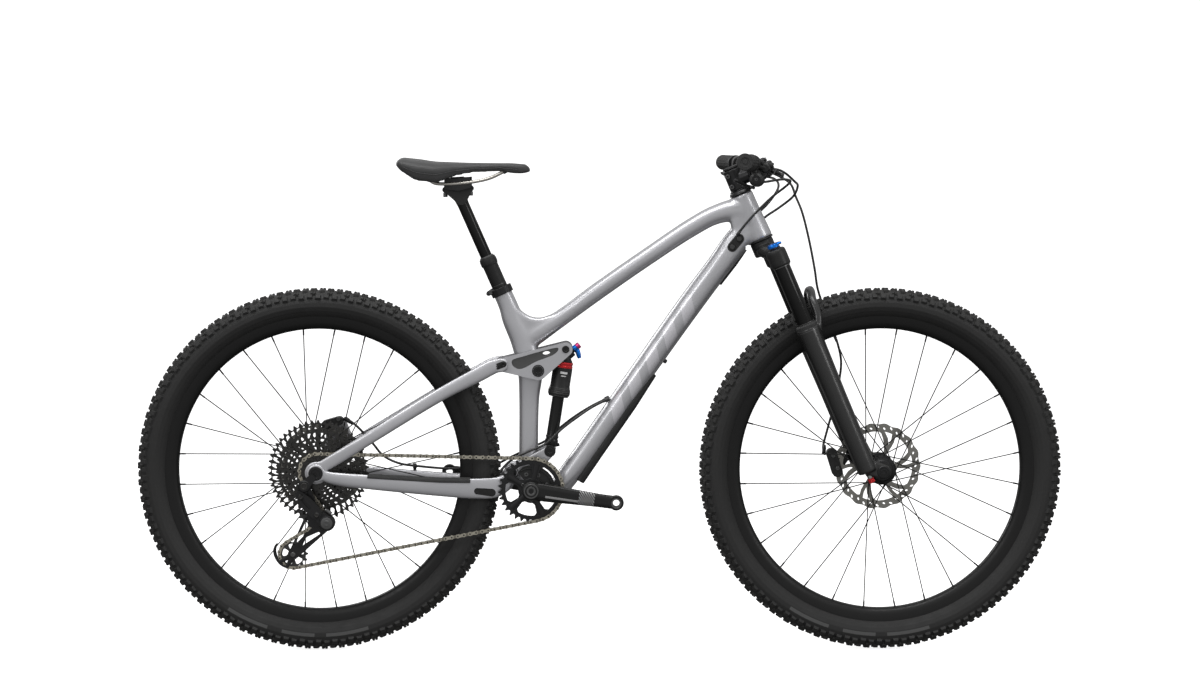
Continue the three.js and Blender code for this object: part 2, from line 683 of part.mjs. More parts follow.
// Loop round circles, each with a sign.
// It is +1 where the circle is passed clockwise seen from the drive side, and -1 the other way.
function chainLoop(circles, arcStep = 12) {
  const tangents = circles.map((from, i) => {
    const to = circles[(i + 1) % circles.length];
    const [dx, dz] = [to.c[0] - from.c[0], to.c[1] - from.c[1]];
    const heading = Math.atan2(dz, dx) - Math.asin(
      (from.sign * from.r - to.sign * to.r) / Math.hypot(dx, dz),
    );
    return heading;
  });
  return circles.flatMap(({ c, r, sign }, i) => {
    const arrive = tangents[(i + circles.length - 1) % circles.length];
    let turn = tangents[i] - arrive;
    while (sign * turn > 0) turn -= sign * 2 * Math.PI;
    while (sign * turn < -2 * Math.PI) turn += sign * 2 * Math.PI;
    const n = Math.max(2, Math.ceil((Math.abs(turn) * r) / arcStep));
    return Array.from({ length: n + 1 }, (_, k) => {
      const heading = arrive + (turn * k) / n;
      return { x: c[0] - sign * r * Math.sin(heading), z: c[1] + sign * r * Math.cos(heading), heading };
    });
  });
}

// The chain as one flat band that lies just outside the teeth.
function chainBand() {
  const LIFT = 4.2;
  const HALF_THICK = 0.8;
  const HALF_WIDE = 2.3;
  const loop = chainLoop([
    { c: REAR_AXLE, r: pitchRadius(COGS[COG_IN_USE]) + LIFT, sign: 1 },
    { c: BB, r: pitchRadius(CHAINRING_TEETH) + LIFT, sign: 1 },
    { c: TENSION, r: pitchRadius(14) + LIFT, sign: 1 },
    { c: GUIDE, r: pitchRadius(12) + LIFT, sign: -1 },
  ]);
  const corners = [[-1, -1], [1, -1], [1, 1], [-1, 1]];
  const points = loop.flatMap(({ x, z, heading }) =>
    corners.map(([out, side]) => new THREE.Vector3(
      x - Math.sin(heading) * out * HALF_THICK,
      CHAIN_Y + side * HALF_WIDE,
      z + Math.cos(heading) * out * HALF_THICK,
    )));
  const index = [];
  loop.forEach((_, i) => {
    const [a, b] = [i * 4, ((i + 1) % loop.length) * 4];
    for (let k = 0; k < 4; k++) {
      const next = (k + 1) % 4;
      index.push(a + k, b + k, a + next, a + next, b + k, b + next);
    }
  });
  const g = new THREE.BufferGeometry().setFromPoints(points);
  g.setIndex(index);
  return closed(g);
}
node("chain", chainBand(), STEEL);

// ---------- derailleur ----------
const derailleurBody = join(
  plate(hull([[[-586, 366], 8], [HANGER, 10]]), -98, -90.6),
  acrossY(HANGER, -98, -69, 10, 16),
  plate(hull([[HANGER, 8], [[-606, 322], 8], [[-572, 292], 9]]), -84, -79),
  plate(hull([[HANGER, 8], [[-608, 330], 7], [[-582, 292], 8]]), -73, -69),
  acrossY([-575, 291], -84, -69, 8, 12),
  plate(hull([[[-575, 291], 9], [CAGE_PIVOT, 15]]), -84, -62),
);
node("derailleur_body", derailleurBody, BLACK);

const PULLEY_BOLT = 3;
const cagePlate = (y0, y1) => plate(hull([[GUIDE, 12], [TENSION, 13]]), y0, y1);
const derailleurCage = join(
  cagePlate(-57.4, -55.6),
  cagePlate(-47.4, -45.8),
  plate(hull([[GUIDE, 9], [CAGE_PIVOT, 11], [[-612, 250], 8]]), -57.4, -55.6),
  acrossY(CAGE_PIVOT, -61.6, -55.6, 12, 16),
  acrossY(GUIDE, -57, -46, PULLEY_BOLT, 12),
  acrossY(TENSION, -57, -46, PULLEY_BOLT, 12),
);
node("derailleur_cage", derailleurCage, BLACK);
for (const [name, centre, teeth] of [["guide_pulley", GUIDE, 12], ["tension_pulley", TENSION, 14]]) {
  const shape = hole(sprocketShape(centre, teeth), circlePoints(centre, PULLEY_BOLT + GAP, 12));
  node(name, plate(shape, CHAIN_Y - 1, CHAIN_Y + 1), BLACK);
}

// ---------- fork, in its own frame: +Z up the steering axis, +X ahead of it ----------
const fork = new THREE.Group();
fork.position.set(steerFoot[0], 0, steerFoot[1]);
fork.rotation.y = -steerSlope;
bike.add(fork);

const upright = (x, y, z0, z1, r, segments = 16, r2 = r) => rod([x, y, z0], [x, y, z1], r, segments, r2);
const KNEE_BOTTOM = 469;
const bothLegs = (make) => [make(-LEG_Y), make(LEG_Y)];
const crownArch = loft([
  [LEG_X + 2, -LEG_Y, 492, 15, 16], [8, -44, 497, 15, 15], [2, -22, 511, 14, 22], [2, 22, 511, 14, 22],
  [8, 44, 497, 15, 15], [LEG_X + 2, LEG_Y, 492, 15, 16],
].map(([x, y, z, a, b]) => [y, x, z, a, b]), 10, 2.6);
// The loft runs across the bike, so it is built along X and turned a quarter to lie along Y.
crownArch.rotateZ(Math.PI / 2).scale(-1, 1, 1);
const crown = join(
  closed(crownArch),
  ...bothLegs((y) => upright(LEG_X, y, KNEE_BOTTOM, 509, 20.5)),
  ...bothLegs((y) => upright(LEG_X, y, 45 + FORK_TRAVEL, 480, STANCHION_R)),
  upright(0, 0, 505, CROWN_HEIGHT + 3.5, 24),
  upright(0, 0, 520, CROWN_HEIGHT + 14, 19),
  upright(0, 0, 530, 686, 14.3),
);
node("crown_steerer", crown, BLACK, fork);

const legBore = (y) => upright(LEG_X, y, 40, 400, STANCHION_R + GAP);
const arch = loft([
  [LEG_Y - 4, 24, 306, 14, 10], [LEG_Y - 8, 44, 345, 11, 9], [44, 47, 380, 10, 9], [20, 52, 394, 9, 9],
  [-20, 52, 394, 9, 9], [-44, 47, 380, 10, 9], [-LEG_Y + 8, 44, 345, 11, 9], [-LEG_Y + 4, 24, 306, 14, 10],
], 8, 2.6);
arch.rotateZ(Math.PI / 2).scale(-1, 1, 1);
const dropout = (y) => plate(hull([[[LEG_X + 2, 24], 16], [[FORK_OFFSET, 0], 15]]), y - 9, y + 9);
const lowers = cut(
  join(
    closed(arch),
    ...bothLegs((y) => upright(LEG_X, y, 12, SEAL_Z, 20, 20, 23.5)),
    dropout(-LEG_Y),
    dropout(LEG_Y),
  ),
  legBore(-LEG_Y),
  legBore(LEG_Y),
  acrossY([FORK_OFFSET, 0], -120, 120, 7.5 + GAP, 16),
);
node("fork_lowers", lowers, BLACK, fork);
node("front_axle", turned([FORK_OFFSET, 0], axleProfile(7.5, LEG_Y + 9 + GAP, 11), 16), BLACK, fork);

const frontCalliper = cut(
  plate(hull([[[-38, 22], 11], [[-34, 62], 11]], 12), FRONT_ROTOR_Y - 11, FRONT_ROTOR_Y + 12),
  ring([FORK_OFFSET, 0], 50, 93, FRONT_ROTOR_Y - 2, FRONT_ROTOR_Y + 2, 40),
);
const calliperMount = plate(
  hull([[[-32, 26], 7], [[-12, 40], 9], [[-30, 58], 7]], 10), FRONT_ROTOR_Y + 12 - GAP,
  FRONT_ROTOR_Y + 20,
);
node(
  "front_calliper", join(frontCalliper, cut(calliperMount, upright(LEG_X, LEG_Y, 0, 200, 22.6))), BLACK,
  fork,
);

const dial = join(
  upright(LEG_X, -LEG_Y, 509 + GAP, 515, 9.8),
  plate(hull([[[LEG_X, 513.2], 1.8], [[LEG_X + 17, 513.2], 1.8]], 8), -LEG_Y - 4, -LEG_Y + 4),
);
node("fork_dial", dial, BLUE, fork);

// ---------- cockpit ----------
node(
  "headset_spacers", cut(upright(0, 0, HEAD_TOP + GAP, 645, 21), upright(0, 0, 600, 700, 14.3 + GAP)),
  BLACK, fork,
);
const STEM_Z = 665;
const STEM_LENGTH = 50;
const barLocal = [STEM_LENGTH, STEM_Z];
const stem = cut(
  join(
    upright(0, 0, 645 + GAP, 688, 18.5),
    loft([[5, 0, STEM_Z, 15, 17], [STEM_LENGTH, 0, STEM_Z, 16, 24]]),
    acrossY(barLocal, -26, 26, 22.5, 20),
    upright(0, 0, 686, 692, 15),
  ),
  upright(0, 0, 600, 686 + GAP, 14.3 + GAP),
  acrossY(barLocal, -60, 60, 17.5 + GAP, 20),
);
node("stem", stem, BLACK, fork);

const clampCentre = onSteerer(STEM_Z, STEM_LENGTH);
const BAR_END = [clampCentre[0] - 50, clampCentre[1] + 17];
// Bar centre line at a signed distance from the middle: flat, a rising bend, then the swept-back ends.
function barPoint(y) {
  const out = Math.abs(y);
  const rise = THREE.MathUtils.smoothstep(out, 45, 120);
  const sweep = Math.max(0, out - 50) / (BAR_HALF - 50);
  return [
    clampCentre[0] + (BAR_END[0] - clampCentre[0]) * sweep, y, clampCentre[1] + 13 * rise + 4 * sweep,
  ];
}
const barRadius = (y) => BAR_R + (17.5 - BAR_R) * (1 - THREE.MathUtils.smoothstep(Math.abs(y), 34, 110));
const barStations = [-375, -240, -120, -100, -80, -60, -34, 34, 60, 80, 100, 120, 240, 375];
const barRings = barStations.map((y) => {
  const [x, , z] = barPoint(y);
  return circlePoints([x, z], barRadius(y), 12).map((p) => new THREE.Vector3(p.x, y, p.y));
});
node("handlebar", skin(barRings, vec(barPoint(-BAR_HALF)), vec(barPoint(BAR_HALF))), BLACK);

const alongBar = (y0, y1, r, segments = 12) => rod(barPoint(y0), barPoint(y1), r, segments);
for (const [name, side] of [["grip_right", -1], ["grip_left", 1]]) {
  const grip = cut(
    alongBar(side * 246, side * (BAR_HALF + 5), GRIP_R),
    alongBar(side * 230, side * (BAR_HALF + 2.5), BAR_R + 0.6),
  );
  node(name, grip, RUBBER);
}

// Brake lever: clamp and master cylinder on the bar, and a blade that hinges on a pin between them.
const LEVER_DROP = THREE.MathUtils.degToRad(-22);
const leverAhead = [Math.cos(LEVER_DROP), Math.sin(LEVER_DROP)];
const fromBar = (y, ahead, below = 0) => {
  const [x, , z] = barPoint(y);
  return [
    x + ahead * leverAhead[0] + below * leverAhead[1], y,
    z + ahead * leverAhead[1] - below * leverAhead[0],
  ];
};
const HINGE_Y = 196;
function brakeLever(side) {
  const at = (y, ahead, below) => fromBar(side * y, ahead, below);
  const body = cut(
    join(
      alongBar(side * 206, side * 220, 16.5),
      rod(at(212, 12), at(205, 27), 8, 12),
      rod(at(148, 24), at(212, 27), 9.5, 14),
      rod(at(HINGE_Y, 30, -9), at(HINGE_Y, 38, -9), 7, 10),
      rod(at(160, 27, -8), at(195, 28, -8), 8, 10),
      side < 0 ? rod(at(196, 20, 27), at(228, 20, 27), 14) : rod(at(200, 10, 20), at(214, 10, 20), 9),
      rod(at(212, 8, 11), at(212, 16, 22), 6, 8),
    ),
    alongBar(side * 120, side * 260, BAR_R + 0.6),
    rod(at(HINGE_Y, 34, -4.6), at(HINGE_Y, 34, 6), 13, 12),
  );
  const blade = join(
    rod(at(HINGE_Y, 36, -4.2), at(HINGE_Y, 36, 4.2), 5, 12),
    hose([at(HINGE_Y, 36), at(212, 56), at(238, 66), at(268, 66), at(300, 70)], 4.2, 10, 6),
  );
  return { body, blade };
}
for (const [name, side] of [["right", -1], ["left", 1]]) {
  const { body, blade } = brakeLever(side);
  node(`brake_body_${name}`, body, BLACK);
  node(`brake_blade_${name}`, blade, ALLOY);
}

// Thumb levers behind and below the bar: gear shift on the right, seat post remote on the left.
const thumb = (side, y0, y1, ahead, below) => join(
  rod(fromBar(side * y0, ahead, below + GAP), fromBar(side * y0, ahead, below + 6), 7, 12),
  hose(
    [
      fromBar(side * y0, ahead, below + 3), fromBar(side * (y0 + 12), ahead - 16, below + 4),
      fromBar(side * y1, ahead - 34, below + 2),
    ],
    3.6, 6, 6,
  ),
);
node("shift_paddle", thumb(-1, 212, 240, 16, 41.4), ALLOY);
node("dropper_remote", thumb(1, 207, 234, 10, 29.8), ALLOY);

// ---------- hoses ----------
const HOSE_R = 2.5;
const leftExit = fromBar(145.8, 24);
const rightExit = fromBar(-145.8, 24);
node("front_brake_hose", hose([
  leftExit, [leftExit[0] + 24, 122, leftExit[2] - 8], [398, 92, 962], [409, 85, 935],
  [422, 86, 904], [438, 90, 843], [450, 93, 783],
  [457, 96, 741], [475, 99, 690], [498, 100, 632], [507, 100, 590], [503, 100, 547], [492, 98, 495],
  [478, 94, 445], [468, 78, 410],
  [470, 58, 398],
], HOSE_R, 32), BLACK);
node("rear_brake_hose", hose([
  rightExit, [rightExit[0] + 30, -118, rightExit[2] - 5], [394, -60, 968], [405, -10, 957],
  [398, 30, 935], [370, 42, 912],
  [342, 41, 893], [314, 38, 866], [297, 31.5, 845],
], HOSE_R, 22), BLACK);
const podExit = fromBar(-193.6, 20, 30);
node("shift_housing", hose([
  podExit, [podExit[0] + 14, -168, podExit[2] - 2], [366, -122, 972], [384, -86, 968],
  [376, -62, 957], [350, -48, 936], [314, -40, 900],
  [290, -35, 872], [280, -31, 858],
], HOSE_R, 20), BLACK);
const remoteExit = fromBar(197, 8, 20);
node("dropper_housing", hose([
  remoteExit, [remoteExit[0] + 20, 172, remoteExit[2] - 4], [366, 112, 972], [372, 76, 955],
  [352, 54, 925], [322, 46, 895],
  [300, 38, 870], [288, 31.5, 858],
], HOSE_R, 18), BLACK);
node("rear_brake_hose_lower", hose([
  [14, 14, 519], [-16, 16, 504], [-50, 28, 482], [-79, 30, 460], [-112, 34, 430], [-150, 37, 412],
  [-184, 44, 395], [-229, 51, 374],
  [-300, 54, 369], [-371, 60, 373], [-420, 62, 380], [-452, 62, 396], [-474, 62, 422], [-506, 62, 457],
  [-529, 60, 475],
], HOSE_R, 32), BLACK);
node("shift_housing_lower", hose([
  [14, -14, 519], [-16, -16, 504], [-50, -28, 482], [-79, -30, 460], [-112, -34, 430],
  [-150, -34, 413], [-182, -36, 397],
  [-199, -37, 381], [-205, -38, 372],
], HOSE_R, 18), BLACK);

export default bike;
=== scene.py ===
"""Looks of a full-suspension mountain bike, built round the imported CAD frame.

Shapes are made in millimetres, in the frame's axes: +X is the riding direction, +Y the rider's left, +Z up.
"""

import json
import math
import random

import bpy
import numpy as np
from mathutils import Matrix, Vector
from mathutils.geometry import tessellate_polygon


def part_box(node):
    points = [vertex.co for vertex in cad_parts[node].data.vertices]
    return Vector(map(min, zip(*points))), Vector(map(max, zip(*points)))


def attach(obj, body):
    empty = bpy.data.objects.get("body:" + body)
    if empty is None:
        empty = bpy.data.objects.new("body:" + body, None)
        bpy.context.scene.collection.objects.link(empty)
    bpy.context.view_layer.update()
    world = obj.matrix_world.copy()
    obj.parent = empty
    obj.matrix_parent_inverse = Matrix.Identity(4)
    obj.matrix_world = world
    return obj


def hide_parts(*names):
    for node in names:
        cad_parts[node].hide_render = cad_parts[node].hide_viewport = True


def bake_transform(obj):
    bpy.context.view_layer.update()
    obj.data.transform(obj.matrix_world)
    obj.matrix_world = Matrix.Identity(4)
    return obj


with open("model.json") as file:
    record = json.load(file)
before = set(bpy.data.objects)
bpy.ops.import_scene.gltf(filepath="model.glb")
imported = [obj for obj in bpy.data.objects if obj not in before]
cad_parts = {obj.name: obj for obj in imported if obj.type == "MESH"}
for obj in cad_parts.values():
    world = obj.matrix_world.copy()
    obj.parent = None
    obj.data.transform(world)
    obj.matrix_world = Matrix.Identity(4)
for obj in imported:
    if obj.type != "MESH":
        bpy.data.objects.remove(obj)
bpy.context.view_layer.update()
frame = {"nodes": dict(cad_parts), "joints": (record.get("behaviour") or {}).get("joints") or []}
MM = 0.001
NODES = frame["nodes"]
TAU = 2 * math.pi

# ---------- driving dimensions, read from the frame ----------


def box_mm(node):
    """Lowest and highest corner of a CAD node, in millimetres."""
    low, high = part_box(node)
    return low / MM, high / MM


def middle(node):
    """Centre of a CAD node's box, in millimetres."""
    low, high = box_mm(node)
    return (low + high) / 2


REAR_AXLE = middle("rear_rim")
FRONT_AXLE = middle("front_rim")
BB = middle("chainring")
ROCKER_PIVOT = middle("rocker_pivot_axle")
MAIN_PIVOT = middle("main_pivot_axle")
GUIDE = middle("guide_pulley")
TENSION = middle("tension_pulley")
CHAIN_Y = BB.y
JOINTS = {j["name"]: j for j in frame["joints"]}


def joint_point(name):
    """Place of a joint, in millimetres."""
    return Vector(JOINTS[name]["pos_m"]) / MM


STEER_UP = Vector(JOINTS["steering"]["axis"]).normalized()
STEER_AHEAD = Vector((STEER_UP.z, 0, -STEER_UP.x))
STEER_FOOT = joint_point("steering")
SEAT_UP = Vector(JOINTS["dropper_post"]["axis"]).normalized()
SHOCK_UP = Vector(JOINTS["shock_stroke"]["axis"]).normalized()
SHOCK_TOP = joint_point("shock_upper_pivot")
CAGE_PIVOT = joint_point("cage_pivot")
X_AXIS = Vector((1, 0, 0))
Y_AXIS = Vector((0, 1, 0))
Z_AXIS = Vector((0, 0, 1))
ORIGIN = (0, 0, 0)


def around(c, r, a):
    """Point (x, z) at radius r and angle a from the point c."""
    return (c[0] + r * math.cos(a), c[1] + r * math.sin(a))


def circle(c, r, n):
    """n points (x, z) on a circle, turning clockwise, as a hole does."""
    return [around(c, r, -TAU * k / n) for k in range(n)]


def ray(a, r=1, y=0):
    """Vector at angle a in the side view, r long, with y across."""
    return Vector((math.cos(a) * r, y, math.sin(a) * r))


def turns(n):
    """n even angles in one full turn."""
    return [TAU * k / n for k in range(n)]


def axes(origin, up, ahead):
    """Matrix from local mm (x ahead, y left, z up) to the frame's mm."""
    up = Vector(up).normalized()
    ahead = (Vector(ahead) - up * up.dot(Vector(ahead))).normalized()
    left = up.cross(ahead)
    m = Matrix((ahead, left, up)).transposed().to_4x4()
    m.translation = Vector(origin)
    return m


FORK = axes(STEER_FOOT, STEER_UP, STEER_AHEAD)

# ---------- shapes ----------


class Shape:
    """Collects faces, in millimetres, with a material number for each. at moves what is added."""

    def __init__(self, at=None):
        self.at = at
        self.verts = []
        self.faces = []
        self.mats = []

    def add(self, part, mat=0, at=None):
        verts, faces = part
        first = len(self.verts)
        at = at or self.at
        if at:
            verts = [at @ Vector(v) for v in verts]
        self.verts.extend(tuple(v) for v in verts)
        self.faces.extend(tuple(i + first for i in f) for f in faces)
        self.mats.extend([mat] * len(faces))
        return self

    def metres(self):
        return [tuple(Vector(v) * MM) for v in self.verts]


def skin(rings, cap=(True, True), closed=False):
    """Faces between rings of equally many points. A cap closes the first and the last ring."""
    n = len(rings[0])
    verts = [v for ring in rings for v in ring]
    faces = []
    for i in range(len(rings) if closed else len(rings) - 1):
        a, b = i * n, ((i + 1) % len(rings)) * n
        for k in range(n):
            k2 = (k + 1) % n
            faces.append((a + k, a + k2, b + k2, b + k))
    if not closed:
        if cap[0]:
            faces.append(tuple(range(n - 1, -1, -1)))
        if cap[1]:
            faces.append(tuple(range((len(rings) - 1) * n, len(rings) * n)))
    return verts, faces


def tube(points, radius, sides=12, up=Y_AXIS):
    """Round or oval tube along points. radius is one number, or one (number or pair) for each point."""
    pts = [Vector(p) for p in points]
    radii = list(radius) if isinstance(radius, (list, tuple)) else [radius] * len(pts)
    normal = Vector(up)
    rings = []
    for i, p in enumerate(pts):
        along = (pts[min(i + 1, len(pts) - 1)] - pts[max(i - 1, 0)]).normalized()
        normal = normal - along * normal.dot(along)
        if normal.length < 1e-4:
            normal = along.orthogonal()
        normal.normalize()
        side = along.cross(normal)
        a, b = radii[i] if isinstance(radii[i], (list, tuple)) else (radii[i], radii[i])
        rings.append([p + normal * (a * math.cos(t)) + side * (b * math.sin(t)) for t in turns(sides)])
    return skin(rings)


def oval_loft(stations, sides=48, steps=6, squareness=2.4, across=Y_AXIS):
    """Smooth flattened-oval tube through stations (x, y, z, half height in the side view, half width)."""
    pts = spline([Vector(s) for s in stations], steps)
    centres = [Vector(p[:3]) for p in pts]
    rings = []
    for i, p in enumerate(pts):
        along = (centres[min(i + 1, len(pts) - 1)] - centres[max(i - 1, 0)]).normalized()
        up = across.cross(along).normalized()
        side = along.cross(up)
        ring = []
        for k in range(sides):
            c, s = math.cos(TAU * k / sides), math.sin(TAU * k / sides)
            high = math.copysign(abs(c) ** (2 / squareness), c) * p[3]
            wide = math.copysign(abs(s) ** (2 / squareness), s) * p[4]
            ring.append(centres[i] + up * high + side * wide)
        rings.append(ring)
    return skin(rings)


def mirrored(part):
    """The same part on the other side of the bike."""
    verts, faces = part
    return [(v[0], -v[1], v[2]) for v in verts], [tuple(reversed(f)) for f in faces]


def across_y(centre, y0, y1, radius, segments=48):
    """Plain cylinder along Y."""
    return lathe([(0, y0), (radius, y0), (radius, y1), (0, y1)], (centre[0], 0, centre[2]), Y_AXIS, segments)


def spline(points, steps, closed=False):
    """Points along a centripetal Catmull-Rom curve through points, steps for each span."""
    pts = [Vector(p) for p in points]
    n = len(pts)
    out = []
    for i in range(n if closed else n - 1):
        p1, p2 = pts[i], pts[(i + 1) % n]
        p0 = pts[(i - 1) % n] if closed or i else p1 + (p1 - p2)
        p3 = pts[(i + 2) % n] if closed or i < n - 2 else p2 + (p2 - p1)
        t1 = max(1e-6, (p1 - p0).length ** 0.5)
        t2 = t1 + max(1e-6, (p2 - p1).length ** 0.5)
        t3 = t2 + max(1e-6, (p3 - p2).length ** 0.5)
        for s in range(steps):
            t = t1 + (t2 - t1) * s / steps
            a1 = p0.lerp(p1, t / t1)
            a2 = p1.lerp(p2, (t - t1) / (t2 - t1))
            a3 = p2.lerp(p3, (t - t2) / (t3 - t2))
            b1 = a1.lerp(a2, t / t2)
            b2 = a2.lerp(a3, (t - t1) / (t3 - t1))
            out.append(b1.lerp(b2, (t - t1) / (t2 - t1)))
    if not closed:
        out.append(pts[-1])
    return out


def square_to(axis, ref, spare):
    """Two directions square to axis and to each other. spare stands in where ref lies along the axis."""
    ref = ref if abs(axis.dot(ref)) < 0.9 else spare
    u = (ref - axis * ref.dot(axis)).normalized()
    return u, axis.cross(u)


def lathe(profile, origin, axis=Y_AXIS, segments=64, closed=False):
    """Turns profile points (radius, height along axis) about the axis through origin."""
    axis = Vector(axis).normalized()
    u, w = square_to(axis, X_AXIS, Z_AXIS)
    origin = Vector(origin)
    rings = []
    for r, h in profile:
        r = max(r, 0.01)
        rings.append([origin + axis * h + (u * math.cos(t) + w * math.sin(t)) * r for t in turns(segments)])
    return skin(rings, closed=closed)


def rod(start, end, radius, segments=24, edge=0.6):
    """Solid rod with a small chamfer at both ends."""
    start, end = Vector(start), Vector(end)
    h = (end - start).length
    e = min(edge, radius * 0.4, h * 0.4)
    return lathe([(radius - e, 0), (radius, e), (radius, h - e), (radius - e, h)], start, end - start, segments)


def band(r0, r1, y0, y1, centre, axis=Y_AXIS, segments=64, edge=0.4):
    """Ring with a hole, between two radii and two heights."""
    profile = [(r0, y0), (r1 - edge, y0), (r1, y0 + edge), (r1, y1 - edge), (r1 - edge, y1), (r0, y1)]
    return lathe(profile, centre, axis, segments, True)


def bolt(at, axis, radius, height=3.0, socket=0.52, segments=24):
    """Bolt head with a hexagonal socket, standing on a surface point, facing along axis."""
    axis = Vector(axis).normalized()
    u, w = square_to(axis, Z_AXIS, X_AXIS)

    def ring(r, h, hexagon=False):
        out = []
        for a in turns(segments):
            reach = r * math.cos(math.pi / 6) / math.cos((a % (math.pi / 3)) - math.pi / 6) if hexagon else r
            out.append(Vector(at) + axis * h + (u * math.cos(a) + w * math.sin(a)) * reach)
        return out

    e = min(0.5, height * 0.3)
    s = radius * socket
    return skin([
        ring(radius, -1), ring(radius, height - e), ring(radius - e, height), ring(s * 1.12, height, True),
        ring(s, height - 0.3, True), ring(s, height - min(2.4, height * 0.8), True),
    ])


def area(loop):
    """Twice the area inside a loop of (x, z), positive when it runs anticlockwise."""
    n = len(loop)
    return sum(loop[i][0] * loop[(i + 1) % n][1] - loop[(i + 1) % n][0] * loop[i][1] for i in range(n))


def outline_prism(outline, y0, y1, holes=()):
    """Plate with holes. outline and holes are lists of (x, z); the plate lies between two y values."""
    loops = [list(outline), *[list(h) for h in holes]]
    flat = [Vector((x, z, 0)) for loop in loops for x, z in loop]
    tris = tessellate_polygon([[Vector((x, z, 0)) for x, z in loop] for loop in loops])
    n = len(flat)
    verts = [(p.x, y0, p.y) for p in flat] + [(p.x, y1, p.y) for p in flat]
    faces = []
    for t in tris:
        a, b, c = (flat[i] for i in t)
        if (b - a).cross(c - a).z < 0:
            t = (t[0], t[2], t[1])
        faces.append((t[0], t[1], t[2]))
        faces.append((t[2] + n, t[1] + n, t[0] + n))
    first = 0
    for k, loop in enumerate(loops):
        m = len(loop)
        outwards = (area(loop) > 0) == (k == 0)
        for i in range(m):
            a, b = first + i, first + (i + 1) % m
            faces.append((a, a + n, b + n, b) if outwards else (b, b + n, a + n, a))
        first += m
    return verts, faces


def arc(centre, r, a0, a1, n):
    """n + 1 points (x, z) on a circle from angle a0 to a1, in radians."""
    return [around(centre, r, a0 + (a1 - a0) * k / n) for k in range(n + 1)]


def hull(circles, steps=16):
    """Convex outline round circles ((x, z), r)."""
    pts = sorted({(round(x, 4), round(z, 4)) for c, r in circles for x, z in arc(c, r, 0, TAU, steps)})

    def dented(a, b, p):
        return (b[0] - a[0]) * (p[1] - a[1]) <= (b[1] - a[1]) * (p[0] - a[0])

    def half(points):
        out = []
        for p in points:
            while len(out) > 1 and dented(out[-2], out[-1], p):
                out.pop()
            out.append(p)
        return out[:-1]

    return half(pts) + half(pts[::-1])


def xz(v):
    """A point's place in the side view."""
    return (v[0], v[2])


def orient(loop):
    """The loop, turned so that it runs clockwise."""
    return loop if area(loop) < 0 else loop[::-1]


def at_y(point, y):
    """The same place in the side view, at another distance across."""
    return Vector((point[0], y, point[2]))


# ---------- objects ----------


def new_object(name, verts, faces):
    """Object at the origin with a mesh of its own, in metres."""
    mesh = bpy.data.meshes.new(name)
    mesh.from_pydata(verts, [], faces)
    obj = bpy.data.objects.new(name, mesh)
    bpy.context.scene.collection.objects.link(obj)
    return obj


def bake(obj):
    """Turns what the modifiers make into the object's own mesh."""
    bpy.context.view_layer.update()
    mesh = bpy.data.meshes.new_from_object(obj.evaluated_get(bpy.context.evaluated_depsgraph_get()))
    obj.modifiers.clear()
    obj.data = mesh
    return mesh


def remesh(obj, voxel):
    """Runs crossing solids together into one even skin. voxel is in mm."""
    mod = obj.modifiers.new("skin", "REMESH")
    mod.mode = "VOXEL"
    mod.voxel_size = voxel * MM
    return bake(obj)


def make(name, shape, body, mats, replaces=(), origin=ORIGIN, bevel=0.0, sharp=32):
    """One piece of the bike from a Shape or a (verts, faces) pair, riding on a CAD body."""
    if not isinstance(shape, Shape):
        shape = Shape().add(shape)
    o = Vector(origin)
    verts = [((v[0] - o.x) * MM, (v[1] - o.y) * MM, (v[2] - o.z) * MM) for v in shape.verts]
    obj = new_object(name, verts, shape.faces)
    obj.data.polygons.foreach_set("material_index", shape.mats)
    obj.data.validate()
    obj.location = o * MM
    return dress(obj, body, mats, replaces, bevel, sharp)


def dress(obj, body, mats, replaces, bevel=0.0, sharp=32):
    """Gives a piece its materials, edges and replaced CAD nodes, and the body it follows when body is one name;
    otherwise it stays where it is.
    """
    for m in mats if isinstance(mats, (list, tuple)) else [mats]:
        obj.data.materials.append(m)
    obj.data.shade_smooth()
    obj.data.set_sharp_from_angle(angle=math.radians(sharp))
    if bevel:
        mod = obj.modifiers.new("edges", "BEVEL")
        mod.width = bevel * MM
        mod.segments = 2
        mod.limit_method = "ANGLE"
        mod.angle_limit = math.radians(40)
        mod.harden_normals = True
    if replaces:
        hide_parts(*replaces)
    if isinstance(body, str):
        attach(obj, body)
    else:
        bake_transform(obj)
    return obj


SMOOTH, SWELL = 0.6307, -0.6732


def relax(mesh, pairs, soft=0, grow=0.0):
    """Smooths a mesh. Paired passes keep its size; grow, in mm, makes up for the soft passes."""
    n = len(mesh.vertices)
    co = np.zeros(n * 3)
    mesh.vertices.foreach_get("co", co)
    co = co.reshape(-1, 3)
    edges = np.zeros(len(mesh.edges) * 2, int)
    mesh.edges.foreach_get("vertices", edges)
    a, b = edges.reshape(-1, 2).T
    ends, starts = np.concatenate([a, b]), np.concatenate([b, a])
    count = np.maximum(np.bincount(ends, minlength=n), 1)
    for share in [SMOOTH, SWELL] * pairs + [SMOOTH] * soft:
        total = [np.bincount(ends, weights=co[starts, axis], minlength=n) for axis in range(3)]
        co = co + share * (np.stack(total, axis=1) / count[:, None] - co)
    mesh.vertices.foreach_set("co", co.ravel())
    mesh.update()
    if grow:
        normals = np.zeros(n * 3)
        mesh.vertices.foreach_get("normal", normals)
        mesh.vertices.foreach_set("co", co.ravel() + normals * grow * MM)
        mesh.update()


